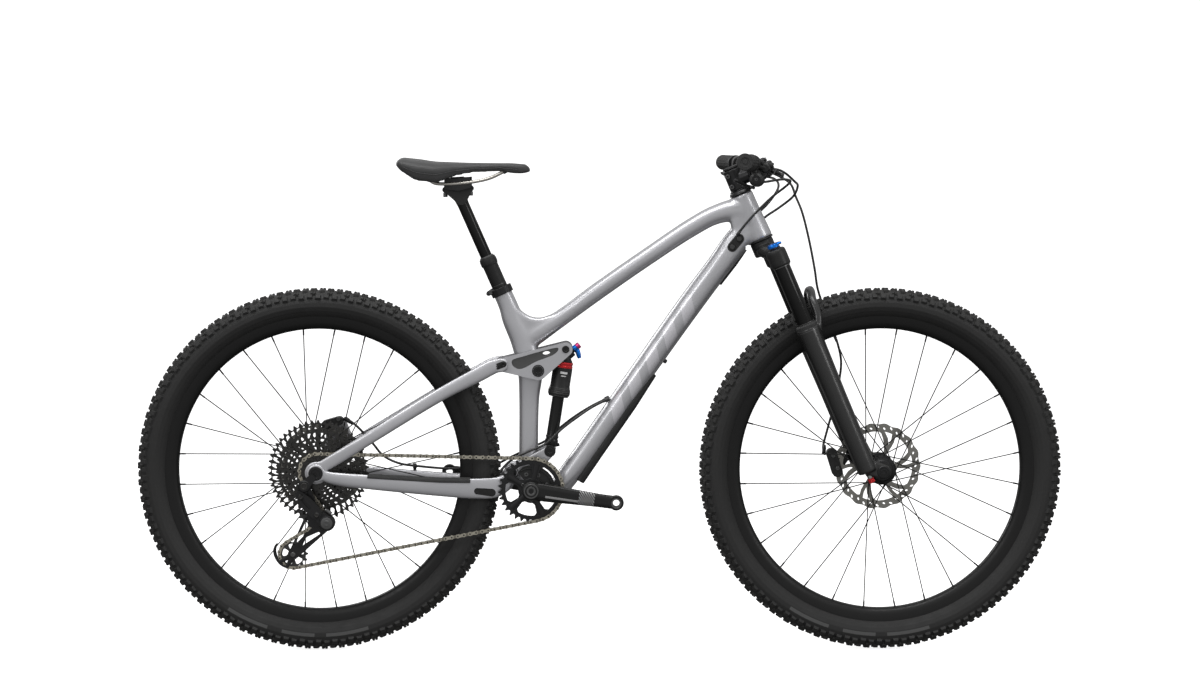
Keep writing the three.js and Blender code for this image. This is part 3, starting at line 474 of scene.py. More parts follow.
def carve(obj, cuts):
    """Takes the solids in cuts out of a closed mesh."""
    tool = new_object("cuts", cuts.metres(), cuts.faces)
    mod = obj.modifiers.new("bores", "BOOLEAN")
    mod.operation = "DIFFERENCE"
    mod.solver = "MANIFOLD"
    mod.object = tool
    mesh = bake(obj)
    mesh.materials.clear()
    mesh.polygons.foreach_set("material_index", [0] * len(mesh.polygons))
    bpy.data.objects.remove(tool)


def moulded(name, node, body, mats, voxel, pairs, shape=None, cuts=None, soft=0, grow=0.0):
    """One skin with soft blends in place of a CAD node, over that node or over the solids of shape."""
    if shape:
        verts, faces = shape.metres(), shape.faces
    else:
        data = NODES[node].data
        verts, faces = [tuple(v.co) for v in data.vertices], [tuple(p.vertices) for p in data.polygons]
    obj = new_object(name, verts, faces)
    relax(remesh(obj, voxel), pairs, soft, grow)
    if cuts:
        carve(obj, cuts)
    return dress(obj, body, mats, [node], sharp=60)


# ---------- materials ----------


class Paint:
    """A Principled material with helper nodes. Every texture reads the piece's own coordinates."""

    def __init__(self, name, **sockets):
        self.material = bpy.data.materials.new(name)
        self.material.use_nodes = True
        self.tree = self.material.node_tree
        self.shader = self.tree.nodes["Principled BSDF"]
        self.coords = self.tree.nodes.new("ShaderNodeTexCoord").outputs["Object"]
        for key, value in sockets.items():
            self.shader.inputs[key].default_value = value

    def node(self, kind, inputs=None, **props):
        n = self.tree.nodes.new("ShaderNode" + kind)
        for key, value in props.items():
            setattr(n, key, value)
        for key, value in (inputs or {}).items():
            if isinstance(value, bpy.types.NodeSocket):
                self.tree.links.new(value, n.inputs[key])
            else:
                n.inputs[key].default_value = value
        return n

    def noise(self, scale, detail, vector=None):
        inputs = {"Vector": vector or self.coords, "Scale": scale, "Detail": detail, "Roughness": 0.55}
        return self.node("TexNoise", inputs).outputs["Fac"]

    def voronoi(self, scale, feature="F1"):
        return self.node(
            "TexVoronoi", {"Vector": self.coords, "Scale": scale}, feature=feature,
        ).outputs["Distance"]

    def math(self, operation, a, b=0.0):
        return self.node("Math", {0: a, 1: b}, operation=operation).outputs[0]

    def product(self, first, *others):
        for other in others:
            first = self.math("MULTIPLY", first, other)
        return first

    def near(self, value, centre, reach):
        """1 where value is within reach of centre."""
        return self.math("LESS_THAN", self.math("ABSOLUTE", self.math("SUBTRACT", value, centre)), reach)

    def between(self, value, low, high):
        return self.product(self.math("GREATER_THAN", value, low), self.math("LESS_THAN", value, high))

    def spread(self, value, low, high, start=0.0, end=1.0):
        """Maps start..end to low..high."""
        n = self.node(
            "MapRange", {"Value": value, "From Min": start, "From Max": end, "To Min": low, "To Max": high},
        )
        return n.outputs[0]

    def mix(self, share, a, b):
        n = self.tree.nodes.new("ShaderNodeMix")
        n.data_type = "RGBA"
        for i, value in ((0, share), (6, a), (7, b)):
            if isinstance(value, bpy.types.NodeSocket):
                self.tree.links.new(value, n.inputs[i])
            else:
                n.inputs[i].default_value = value
        return n.outputs[2]

    def axis(self, name):
        if not hasattr(self, "_xyz"):
            self._xyz = self.node("SeparateXYZ", {0: self.coords})
        return self._xyz.outputs[name]

    def set(self, socket, value):
        self.tree.links.new(value, self.shader.inputs[socket])

    def bump(self, height, strength, distance):
        n = self.node("Bump", {"Height": height, "Strength": strength, "Distance": distance})
        self.set("Normal", n.outputs[0])


def grey(value, tint=(1, 1, 1)):
    """Colour of one lightness, with a slight tint."""
    return (value * tint[0], value * tint[1], value * tint[2], 1)


def shade(colour, share):
    """The same colour, darker or lighter by a share."""
    return [min(1, c * share) for c in colour[:3]] + [1]


def worn(
    name, colour, rough, metal=0.0, spread=0.12, grain=900.0, grain_depth=0.05, rough_spread=0.08,
    blotch=25.0, **more,
):
    """Painted, anodised or moulded surface: slight colour drift, uneven gloss and a fine grain."""
    p = Paint(name, Metallic=metal, **more)
    drift = p.noise(blotch, 4)
    p.set("Base Color", p.mix(drift, shade(colour, 1 - spread), shade(colour, 1 + spread)))
    p.set(
        "Roughness",
        p.spread(p.noise(blotch * 3.1, 3), rough - rough_spread, rough + rough_spread, 0.3, 0.7),
    )
    p.bump(p.noise(grain, 2), grain_depth, 0.0003)
    return p.material


def silver_paint(name, bands=False):
    """Metallic lacquer: fine flakes under a clear coat. The down tube carries plain pale bands."""
    p = Paint(name, Metallic=0.62, **{"Coat Weight": 0.9, "Coat Roughness": 0.13, "Coat IOR": 1.5})
    flakes = p.voronoi(2600)
    drift = p.noise(14, 3)
    base = p.mix(p.spread(flakes, 0, 1, 0.1, 0.7), grey(0.375, (1, 1, 1.05)), grey(0.46, (1, 1, 1.045)))
    base = p.mix(p.spread(drift, 0, 0.35, 0.3, 0.7), base, grey(0.51, (1, 1, 1.04)))
    rough = p.spread(p.noise(60, 3), 0.30, 0.38, 0.3, 0.7)
    if bands:
        mask = down_tube_bands(p)
        base = p.mix(p.product(mask, 0.75), base, grey(0.64, (1, 0.985, 1.04)))
    p.set("Base Color", base)
    p.set("Roughness", rough)
    p.bump(p.noise(1800, 2), 0.025, 0.0002)
    return p.material


def down_tube_bands(p):
    """Mask of slanted plain bands along the side of the down tube."""
    along, across = Vector((0.578, 0, 0.816)), Vector((-0.816, 0, 0.578))
    origin = Vector((0.061, 0, 0.5395))
    u = dot_socket(p, along, origin)
    v = dot_socket(p, across, origin)
    slant = p.math("ADD", u, p.product(v, -0.9))
    wave = p.math("FRACT", p.math("DIVIDE", slant, 0.062))
    stripe = p.math("LESS_THAN", wave, 0.58)
    inside = p.product(p.math("LESS_THAN", p.math("ABSOLUTE", v), 0.0165), p.near(u, 0.075, 0.155))
    side = p.math("GREATER_THAN", p.math("ABSOLUTE", p.axis("Y")), 0.019)
    return p.product(stripe, inside, side)


def dot_socket(p, direction, origin):
    """Distance along a direction from a point of the piece, in metres."""
    n = p.node("VectorMath", {0: p.coords, 1: tuple(origin)}, operation="SUBTRACT")
    m = p.node("VectorMath", {0: n.outputs[0], 1: tuple(direction)}, operation="DOT_PRODUCT")
    return m.outputs["Value"]


def polar(p):
    """Radius and angle sockets about the piece's own Y axis."""
    x, z = p.axis("X"), p.axis("Z")
    r = p.math("SQRT", p.math("ADD", p.product(x, x), p.product(z, z)))
    return r, p.math("ARCTAN2", z, x)


def tyre_rubber():
    """Moulded rubber: dusty crown, dark side wall with fine rings and a few plain grey bars."""
    p = Paint("tyre_rubber", **{"Specular IOR Level": 0.35})
    r, a = polar(p)
    dust = p.noise(45, 5)
    base = p.mix(dust, grey(0.014), grey(0.022, (1, 0.99, 0.98)))
    crown = p.spread(r, 0, 1, 0.352, 0.368)
    base = p.mix(p.product(crown, 0.55), base, grey(0.03, (1, 0.98, 0.95)))
    bars = [p.near(a, centre, half) for centre, half in ((-2.02, 0.13), (-1.70, 0.10), (-1.40, 0.13))]
    bars = p.math("MAXIMUM", p.math("MAXIMUM", bars[0], bars[1]), bars[2])
    mark = p.product(p.between(r, 0.3375, 0.3445), bars)
    p.set("Base Color", p.mix(p.product(mark, 0.8), base, grey(0.085)))
    shine = p.product(p.between(r, 0.326, 0.345), p.near(a, 2.2, 0.55))
    p.set("Roughness", p.math("SUBTRACT", p.spread(dust, 0.62, 0.78, 0.3, 0.7), p.product(shine, 0.2)))
    rings = p.math("SINE", p.product(r, 4200))
    height = p.math("ADD", p.product(rings, 0.15), p.noise(700, 3))
    p.bump(height, 0.35, 0.0004)
    return p.material


def brushed(name, colour, rough):
    """Metal brushed round its own axis."""
    p = Paint(name, Metallic=1.0)
    r, a = polar(p)
    line = p.node("CombineXYZ", {0: p.product(r, 1600), 1: p.product(a, 3)})
    streak = p.noise(1.0, 2, vector=line.outputs[0])
    p.set("Base Color", p.mix(p.spread(streak, 0, 1, 0.3, 0.7), shade(colour, 0.82), shade(colour, 1.12)))
    p.set("Roughness", p.spread(streak, rough - 0.1, rough + 0.1, 0.3, 0.7))
    p.bump(streak, 0.08, 0.0002)
    return p.material


def leather():
    """Grained saddle cover with fine folds."""
    p = Paint("saddle_leather", **{"Specular IOR Level": 0.45, "Sheen Weight": 0.12, "Sheen Roughness": 0.5})
    cells = p.voronoi(1300, "SMOOTH_F1")
    folds = p.noise(260, 5)
    drift = p.noise(18, 3)
    p.set("Base Color", p.mix(drift, grey(0.019), grey(0.032, (1, 1, 1.03))))
    p.set("Roughness", p.spread(folds, 0.42, 0.6, 0.3, 0.7))
    p.bump(p.math("ADD", cells, p.product(folds, 0.5)), 0.4, 0.0003)
    return p.material


def grip_rubber(name="grip_rubber"):
    """Soft matt rubber with a fine pebbled face."""
    p = Paint(name, **{"Specular IOR Level": 0.3})
    fine = p.voronoi(1500)
    p.set("Base Color", p.mix(p.noise(40, 4), grey(0.02), grey(0.034)))
    p.set("Roughness", p.spread(p.noise(120, 3), 0.62, 0.78, 0.3, 0.7))
    p.bump(fine, 0.35, 0.0003)
    return p.material


def crank_finish():
    """Dark anodised arm with a plain pattern of slanted grey lines towards its outer end."""
    p = Paint(
        "crank_finish", Metallic=0.3,
        **{"Coat Weight": 0.2, "Coat Roughness": 0.2, "Specular IOR Level": 0.3},
    )
    u = dot_socket(p, Vector((0.991, 0, -0.134)), BB * MM)
    v = dot_socket(p, Vector((0.134, 0, 0.991)), BB * MM)
    u = p.math("ABSOLUTE", u)
    wave = p.math("FRACT", p.math("DIVIDE", p.math("ADD", u, p.product(v, 0.8)), 0.0052))
    lines = p.product(p.math("LESS_THAN", wave, 0.4), p.between(u, 0.098, 0.130))
    low = p.product(
        p.math("LESS_THAN", p.math("ABSOLUTE", p.math("ADD", v, 0.0075)), 0.0022), p.between(u, 0.03, 0.098),
    )
    face = p.math("GREATER_THAN", p.math("ABSOLUTE", p.axis("Y")), 0.068)
    mark = p.product(p.math("MAXIMUM", lines, p.product(low, 0.8)), face)
    base = p.mix(p.noise(30, 4), grey(0.006), grey(0.011))
    p.set("Base Color", p.mix(p.product(mark, 0.85), base, grey(0.42)))
    p.set("Roughness", p.spread(p.noise(80, 3), 0.22, 0.34, 0.3, 0.7))
    p.bump(p.noise(1200, 2), 0.04, 0.0003)
    return p.material


SILVER = silver_paint("silver_lacquer")
SILVER_BANDS = silver_paint("silver_lacquer_banded", bands=True)
BLACK_GLOSS = worn("black_lacquer", grey(0.012), 0.22, 0.0, **{"Coat Weight": 0.6, "Coat Roughness": 0.08})
BLACK_SATIN = worn("black_satin_paint", grey(0.011), 0.42, 0.0, **{"Specular IOR Level": 0.35})
ALLOY_BLACK = worn("black_anodised", grey(0.026, (1, 1, 1.03)), 0.36, 0.75, grain=1500, grain_depth=0.08)
ALLOY_GREY = worn("grey_anodised", grey(0.11), 0.34, 0.85, grain=1500, grain_depth=0.06)
COATED_STEEL = worn("coated_steel", grey(0.05, (1, 0.98, 0.95)), 0.3, 0.9, spread=0.3, grain=1100)
STANCHION = worn("stanchion_black", grey(0.010), 0.16, 0.6, rough_spread=0.04, grain=2500, grain_depth=0.02)
PLASTIC = worn("black_plastic", grey(0.024), 0.55, 0.0, grain=1400, grain_depth=0.2)
HOSE = worn("hose_jacket", grey(0.018), 0.38, 0.0, grain=900, grain_depth=0.06)
BLUE = worn("blue_anodised", (0.012, 0.16, 0.62, 1), 0.28, 0.85, grain=1500)
RED = worn("red_anodised", (0.62, 0.03, 0.035, 1), 0.28, 0.7, grain=1500)
PINK = worn("rose_anodised", (0.6, 0.05, 0.2, 1), 0.28, 0.75, grain=1500)
WHITE = worn("pale_print", grey(0.62), 0.45, 0.0, spread=0.05)
STEEL = brushed("brushed_steel", (0.27, 0.265, 0.245), 0.32)
PLAIN_STEEL = worn("spoke_steel", grey(0.014), 0.42, 0.5, grain=1600)
RAIL_STEEL = worn("rail_steel", (0.5, 0.48, 0.44, 1), 0.3, 0.9, grain=1600)
CHAIN_STEEL = worn("chain_steel", (0.42, 0.395, 0.33, 1), 0.30, 0.95, spread=0.25, blotch=160, grain=1300)
CHAIN_DARK = worn("chain_dark", (0.22, 0.205, 0.17, 1), 0.36, 0.95, spread=0.25, blotch=160, grain=1300)
RIM_BLACK = worn("rim_black", grey(0.005), 0.40, 0.0, grain=1600, **{"Specular IOR Level": 0.28})
SATIN_METAL = worn("satin_metal", (0.33, 0.36, 0.34, 1), 0.35, 0.9, grain=1500)
FORK_BLACK = worn("fork_black", grey(0.012), 0.30, 0.1, **{"Coat Weight": 0.25, "Coat Roughness": 0.15})
TYRE = tyre_rubber()
LEATHER = leather()
GRIP = grip_rubber()
GUARD = grip_rubber("guard_rubber")
CRANK = crank_finish()
# Near-black paint used only as painted shade: in recesses, on the cable port faces and behind bolts.
DARK = worn("painted_recess_shade", grey(0.004), 0.8)

# ---------- camera, light and floor ----------


def look(obj, place, target):
    """Puts a camera or lamp at a place, turned to a target."""
    obj.location = place
    obj.rotation_euler = (Vector(target) - Vector(place)).to_track_quat("-Z", "Y").to_euler()


def studio():
    """Camera level with the bars, soft boxes above, ahead and behind, and the white room."""
    data = bpy.data.cameras.new("camera")
    data.lens = 80.3
    data.sensor_width = 36
    data.clip_end = 60
    camera = bpy.data.objects.new("camera", data)
    bpy.context.scene.collection.objects.link(camera)
    look(camera, (-0.05, -5.5, 1.0), (0.0, 0, 0.6473))
    bpy.context.scene.camera = camera

    def soft_box(name, place, target, size, power, shape=1.0):
        lamp = bpy.data.lights.new(name, "AREA")
        lamp.shape = "RECTANGLE"
        lamp.size, lamp.size_y = size, size * shape
        lamp.energy = power
        obj = bpy.data.objects.new(name, lamp)
        bpy.context.scene.collection.objects.link(obj)
        look(obj, place, target)

    soft_box("top_box", (-0.3, -0.9, 3.0), (0, 0, 0.5), 3.0, 54, 0.35)
    soft_box("front_box", (-2.6, -3.6, 2.6), (0, 0, 0.6), 1.2, 24)
    soft_box("side_box", (3.2, -2.4, 1.7), (0.2, 0, 0.6), 1.0, 16)
    soft_box("rim_box", (-2.4, 3.2, 1.9), (0, 0, 0.6), 1.6, 24)
    sky()
    backdrop()
    bpy.context.scene.view_settings.view_transform = "Standard"


def sky():
    """Studio surroundings: brightest overhead and a little ahead, darker behind and below."""
    world = bpy.data.worlds.new("studio")
    world.use_nodes = True
    tree = world.node_tree
    coords = tree.nodes.new("ShaderNodeTexCoord")
    slope = tree.nodes.new("ShaderNodeVectorMath")
    slope.operation = "DOT_PRODUCT"
    slope.inputs[1].default_value = (0, -0.36, 0.93)
    ramp = tree.nodes.new("ShaderNodeMapRange")
    for socket, value in (("From Min", -0.6), ("From Max", 0.95), ("To Min", 0.12), ("To Max", 0.85)):
        ramp.inputs[socket].default_value = value
    tree.links.new(coords.outputs["Generated"], slope.inputs[0])
    tree.links.new(slope.outputs["Value"], ramp.inputs["Value"])
    tree.links.new(ramp.outputs[0], tree.nodes["Background"].inputs["Strength"])
    tree.nodes["Background"].inputs["Color"].default_value = (1, 1, 1, 1)
    bpy.context.scene.world = world


def backdrop():
    """Glowing white room, round in plan, with a floor that curves up into a dome. It lights nothing."""
    card = Paint("white_card", Roughness=0.9, **{"Specular IOR Level": 0.0, "Emission Strength": 0.9})
    card.shader.inputs["Emission Color"].default_value = (1, 1, 1, 1)
    card.set("Base Color", card.mix(card.noise(3, 2), grey(0.55), grey(0.57)))
    bend, reach, height, sides = 4.0, 14.0, 14.0, 64
    run = [(0.0, 0.0), (5.0, 0.0), (reach, 0.0)]
    corner = [math.pi / 2 * k / 12 for k in range(1, 13)]
    run += [(reach + bend * math.sin(a), bend * (1 - math.cos(a))) for a in corner]
    run += [((reach + bend) * math.cos(a) + 0.01, bend + height * math.sin(a)) for a in corner]
    verts = [(r * math.cos(t), r * math.sin(t), z - 0.0005) for r, z in run for t in turns(sides)]
    faces = [
        (i * sides + j, i * sides + (j + 1) % sides, (i + 1) * sides + (j + 1) % sides, (i + 1) * sides + j)
        for i in range(len(run) - 1) for j in range(sides)
    ]
    obj = new_object("backdrop", verts, faces)
    obj.data.shade_smooth()
    obj.data.materials.append(card.material)
    obj.visible_diffuse = obj.visible_glossy = obj.visible_shadow = False


studio()

# ---------- wheels ----------
SPOKES = 28
KNOB_PITCHES = 66


def running_lengths(points):
    """Length along a line of points, at each of them."""
    lengths = [0.0]
    for a, b in zip(points, points[1:]):
        lengths.append(lengths[-1] + (b - a).length)
    return lengths


def casing_point(s, profile, lengths):
    """(radius, y) and outward normal at arc length s from the crown, on the +Y side."""
    s = min(max(s, 0), lengths[-1] - 1e-6)
    i = next(k for k in range(len(lengths) - 1) if lengths[k + 1] > s)
    t = (s - lengths[i]) / (lengths[i + 1] - lengths[i])
    d = (profile[i + 1] - profile[i]).normalized()
    return profile[i].lerp(profile[i + 1], t), Vector((d.y, -d.x))


def knob(shape, axle, casing, angle, s, side, length, width, height, yaw, sipe=0.0):
    """Tread block on the casing: s is the distance from the crown, length runs round the tyre."""
    p, normal = casing_point(s, *casing)
    out = ray(angle)
    round_dir = Vector((-out.z, 0, out.x))
    centre = axle + out * p.x + Vector((0, side * p.y, 0))
    up = (out * normal.x + Vector((0, side * normal.y, 0))).normalized()
    across = up.cross(round_dir).normalized()
    c, sn = math.cos(yaw * side), math.sin(yaw * side)
    u = round_dir * c + across * sn
    w = up.cross(u)
    parts = [(-length / 2, -sipe / 2), (sipe / 2, length / 2)] if sipe else [(-length / 2, length / 2)]
    for a, b in parts:
        rings = []
        for inset, h in ((-0.9, -1.8), (0.0, height * 0.8), (0.7, height)):
            x0, x1, y1 = a + inset, b - inset, width / 2 - inset
            rings.append([
                centre + u * x + w * y + up * h for x, y in ((x0, -y1), (x1, -y1), (x1, y1), (x0, y1))
            ])
        shape.add(skin(rings, (False, True)))


def tyre(prefix, axle, body):
    """Casing turned from the tyre's section, and five rows of sloped, siped tread blocks."""
    half = [
        (369.6, 0), (369.0, 7), (366.6, 15), (361.5, 22.5), (354, 28.6), (345, 31.4), (336, 31.2),
        (327.5, 27.6), (321, 22.2), (317.6, 17.4), (313.5, 15.0),
    ]
    profile = [Vector(p) for p in half]
    lengths = running_lengths(profile)
    casing = profile, lengths
    fine = [casing_point(lengths[-1] * i / 60, *casing)[0] for i in range(61)]
    inner = [(r - 2.2, y - 1.8) for r, y in half[3:-1][::-1]]
    loop = [(p.x, -p.y) for p in fine[::-1]] + [(p.x, p.y) for p in fine[1:]]
    loop += [(312.6, 12.4)] + inner + [(r, -y) for r, y in inner[::-1]] + [(312.6, -12.4)]
    s = Shape().add(lathe(loop, axle, Y_AXIS, 180, True))
    rnd = random.Random(7)
    step = TAU / KNOB_PITCHES
    for a in turns(KNOB_PITCHES):
        for side in (-1, 1):
            rows = [
                (0, 6.6, 11.5, 9.0, 4.6, 0.16, 1.2),
                (0.5, 14.2, 9.5, 7.6, 4.4, -0.25),
                (0.02 * rnd.random(), 22.6, 8.5, 6.6, 4.2, 0.3, 0.9),
                (0.2, 31.0, 10.0, 8.2, 4.4, 0.05),
                (0.7, 32.2, 10.0, 9.4, 4.4, 0.05),
            ]
            for turn, reach, *size in rows:
                knob(s, axle, casing, a + (0.25 * side + turn) * step, reach, side, *size)
    make(f"{prefix}_tyre_tread", s, body, TYRE, [f"{prefix}_tyre"], origin=axle)


def rim(prefix, axle, body):
    """Rim with its hooks and well, the eyelets of the spokes and the valve."""
    half = [
        (289.6, 0), (289.8, 6), (291.2, 9.6), (295.5, 13.4), (303, 15.9), (313, 17.1), (316.4, 17.4),
        (317.1, 16.6), (316.6, 15.6), (311.8, 15.3), (310.9, 9), (306, 0),
    ]
    loop = [(r, -y) for r, y in half[::-1]] + [(r, y) for r, y in half[1:-1]]
    s = Shape().add(lathe(loop, axle, Y_AXIS, 160, True))
    for i in range(SPOKES):
        out = ray((i + 0.5) / SPOKES * TAU)
        s.add(
            lathe([(3.4, -0.6), (3.4, 0.25), (2.5, 0.25), (2.5, -0.4)], axle + out * 289.8, -out, 12, True),
            1,
        )
    out = ray(9 / SPOKES * TAU if prefix == "front" else 0.0)
    s.add(
        lathe(
            [
                (4.4, 0), (4.4, 2.2), (3.0, 3.0), (2.9, 16), (2.2, 17), (2.2, 24), (2.9, 25), (2.9, 33),
                (1.8, 35),
            ],
            axle + out * 290, -out, 16,
        ),
        1,
    )
    make(
        f"{prefix}_rim_hoop", s, body, [RIM_BLACK, ALLOY_BLACK], [f"{prefix}_rim"],
        origin=axle,
    )


def spoke_ends(flanges):
    """The flange's y and radius, the way the spoke leans, and its angles at the rim and the hub."""
    for side, (y, r) in enumerate(flanges):
        for i in range(SPOKES // 2):
            way = 1 if i % 2 else -1
            rim_angle = (2 * i + side + 0.5) / SPOKES * TAU
            yield y, r, way, rim_angle, rim_angle + way * 1.2


def lace(prefix, axle, body, flanges):
    """Spokes with bent heads at the flanges, and nipples in the rim."""
    s = Shape()
    for y, r, way, rim_angle, hub_angle in spoke_ends(flanges):
        inner = axle + ray(hub_angle, r, y)
        across = Vector((0, way * 2.4, 0))
        bend, head = inner + across, inner - across
        outer = axle + ray(rim_angle, 281, math.copysign(1.4, y))
        run = (outer - bend).normalized()
        pts = [
            head, inner, bend + run * 1.8, bend + run * 14, bend + run * 40, outer - run * 30,
            outer - run * 10, outer,
        ]
        s.add(tube(pts, [1.25, 1.25, 1.25, 1.2, 1.15, 1.15, 1.2, 1.2], 8))
        s.add(lathe([(1.2, 0), (1.9, 0.6), (1.9, 1.6)], head - Vector((0, way * 1.6, 0)), Y_AXIS * way, 10))
        s.add(lathe([(1.3, -3), (1.75, -2), (1.75, 9.5), (2.6, 10.5)], outer - run * 0.5, run, 6), 1)
    make(f"{prefix}_spoke_set", s, body, [PLAIN_STEEL, ALLOY_BLACK], [f"{prefix}_spokes"], sharp=40)


def hub(prefix, axle, body, profile, flanges):
    """Turned hub shell with a rimmed hole for each spoke."""
    s = Shape().add(lathe(profile, axle, Y_AXIS, 64, True))
    for y, r, _, _, a in spoke_ends(flanges):
        s.add(
            lathe(
                [(1.5, 0), (2.3, 0), (2.3, -2.5), (1.5, -2.5)], axle + ray(a, r, y + 1.25), Y_AXIS, 12, True,
            ),
            1,
        )
    make(
        f"{prefix}_hub_shell", s, body, [ALLOY_BLACK, ALLOY_GREY], [f"{prefix}_hub"],
        origin=axle, sharp=28,
    )


def rotor(prefix, axle, y, body):
    """Disc with a scalloped rim, drilled braking track and forked arms, and its lock ring."""
    c = xz(axle)
    outline = [around(c, 88.4 + 1.5 * math.cos(a * 18), a) for a in turns(288)]
    holes = [circle(c, 22.0, 32)]

    def slanted(r, angle):
        return around(c, r, angle + 0.36 * (r - 30) / 44)

    for a in turns(6):
        big = [slanted(r, a + 0.10) for r in (31, 40, 50, 60, 69)]
        big += [slanted(72.5, a + t) for t in (0.17, 0.35, 0.5, 0.62)]
        big += [slanted(r, a + t) for r, t in ((70, 0.69), (60, 0.72), (50, 0.78), (40, 0.85), (31, 0.90))]
        big += [slanted(29.5, a + t) for t in (0.75, 0.5, 0.25)]
        small = ((73, 0.79), (73, 0.90), (73, 1.01), (62, 0.955), (50, 0.93), (61, 0.84))
        holes += [big[::-1], [slanted(r, a + t) for r, t in small[::-1]]]
    for i, a in enumerate(turns(36)):
        u = Vector((math.cos(a + 0.9), math.sin(a + 0.9)))
        v = Vector((-u.y, u.x))
        r, w = (82.6, 3.0) if i % 2 else (79.2, 2.4)
        centre = Vector(around(c, r, a))
        ways = [-t for t in turns(10)]
        holes.append([tuple(centre + u * (w * 1.25 * math.cos(t)) + v * (1.75 * math.sin(t))) for t in ways])
    s = Shape().add(outline_prism(outline, y - 0.9, y + 0.9, holes))
    centre = at_y(axle, y)
    s.add(band(19.9, 24.0, -1.6, 1.6, centre, Y_AXIS, 48), 1)
    for a in turns(6):
        at = centre + ray(a, 24.6, 1.0)
        s.add(rod(at - Vector((0, 2, 0)), at + Vector((0, 0.9, 0)), 2.4, 12), 1)
    face = 1.6 if y > 0 else -1.6
    s.add(band(12.5, 21.6, 1.4, 4.4, centre, Y_AXIS, 32), 2)
    for a in turns(12):
        at = centre + ray(a, 20.6, face)
        s.add(rod(at, at + Vector((0, 3.4, 0)), 2.0, 8), 2)
    mats = [STEEL, ALLOY_GREY, ALLOY_BLACK]
    make(f"{prefix}_brake_disc", s, body, mats, [f"{prefix}_rotor"], origin=axle, sharp=30)


def wheel(prefix, axle, body, flanges, hub_profile, rotor_y):
    """One wheel, as five pieces that ride on the same body."""
    tyre(prefix, axle, body)
    rim(prefix, axle, body)
    lace(prefix, axle, body, flanges)
    hub(prefix, axle, body, hub_profile, flanges)
    rotor(prefix, axle, rotor_y, body)


def build_wheels():
    """Both wheels, each with a hub of its own. A hub profile is (radius, y) and a flange is (y, radius)."""
    rear_flanges = [(-19.6, 28), (33.6, 28)]
    rear_hub = [
        (6.4, -73.8), (9.2, -73.8), (9.5, -73.2), (9.5, -25.5), (24, -25.2), (25.4, -24.2), (30.6, -21.2),
        (31.2, -20.2), (31.2, -18.6), (30.4, -17.8), (24, -17.0), (17.2, -12), (16, -2), (16, 16),
        (17.2, 26), (24, 31.2), (30.4, 32.2), (31.2, 33), (31.2, 34.6), (30.6, 35.6), (25, 38), (22.3, 41),
        (21.8, 45), (21.8, 56.3), (19.4, 56.8), (19.4, 62.6), (12.4, 63), (11.8, 73.4), (11.2, 73.8),
        (6.4, 73.8),
    ]
    wheel("rear", REAR_AXLE, "rear_wheel", rear_flanges, rear_hub, middle("rear_rotor").y)
    front_flanges = [(-32.6, 27), (20.6, 27)]
    front_hub = [
        (7.9, -54.8), (12.4, -54.8), (12.9, -54), (12.9, -46.6), (20, -45.4), (24.6, -41.4), (26, -38),
        (29.6, -34.6), (30.2, -33.6), (30.2, -32.0), (29.4, -31.0), (23, -30), (16.4, -25), (15, -16),
        (15, 4), (16.4, 13), (23, 18.2), (29.4, 19.2), (30.2, 20), (30.2, 21.6), (29.6, 22.6), (24, 25),
        (22, 28), (21.6, 33), (21.6, 41.4), (19.4, 41.8), (19.4, 46.6), (12.9, 47), (12.9, 54),
        (12.4, 54.8), (7.9, 54.8),
    ]
    wheel("front", FRONT_AXLE, "front_wheel", front_flanges, front_hub, middle("front_rotor").y)


# ---------- drivetrain ----------
PITCH = 12.7
PATH_STEP = 2.0
COGS = (10, 12, 14, 16, 18, 21, 24, 28, 32, 36, 42, 50)
COG_PITCH = 3.65
COG_IN_USE = 4
SOLID_COGS = 5
RING_TEETH = 32
GUIDE_TEETH = 12
TENSION_TEETH = 14


def pitch_radius(teeth):
    """Radius on which a sprocket carries the chain's pins."""
    return PITCH / 2 / math.sin(math.pi / teeth)


def sprocket_outline(c, teeth, phase=0.0, tall=1.0):
    """Outline of a sprocket: a valley for each roller, at the angles phase + k turns of a tooth."""
    r = pitch_radius(teeth)
    valley = (
        (0, -3.7), (0.16, -3.2), (0.28, -0.6), (0.38, 2.0 * tall), (0.46, 3.0 * tall), (0.54, 3.0 * tall),
        (0.62, 2.0 * tall), (0.72, -0.6), (0.84, -3.2),
    )
    step = TAU / teeth
    return [around(c, r + d, phase + (k + f) * step) for k in range(teeth) for f, d in valley]


def chain_path(circles):
    """Closed loop round circles (centre, radius, sign), each passed on the side that its sign says."""
    heads = []
    for i, (c, r, s) in enumerate(circles):
        c2, r2, s2 = circles[(i + 1) % len(circles)]
        d = Vector(c2) - Vector(c)
        heads.append(math.atan2(d.y, d.x) - math.asin((s * r - s2 * r2) / d.length))
    points, tags = [], []
    for i, (c, r, s) in enumerate(circles):
        arrive, leave = heads[i - 1], heads[i]
        turn = leave - arrive
        while s * turn > 0:
            turn -= s * TAU
        while s * turn < -TAU:
            turn += s * TAU
        n = max(2, int(abs(turn) * r / PATH_STEP))
        for k in range(n + 1):
            h = arrive + turn * k / n
            points.append(Vector((c[0] - s * r * math.sin(h), c[1] + s * r * math.cos(h))))
            tags.append(i)
    return points, tags


def walk(points, tags, pitch):
    """Even steps of about one pitch along a closed polyline, as many as make an even number of links."""
    closed = points + points[:1]
    lengths = running_lengths(closed)
    count = 2 * round(lengths[-1] / pitch / 2)
    out, at = [], 0
    for k in range(count):
        want = lengths[-1] * k / count
        while lengths[at + 1] <= want:
            at += 1
        t = (want - lengths[at]) / (lengths[at + 1] - lengths[at])
        same = tags[at] == tags[(at + 1) % len(tags)]
        out.append((closed[at].lerp(closed[at + 1], t), tags[at] if same else -1 - tags[at]))
    return out


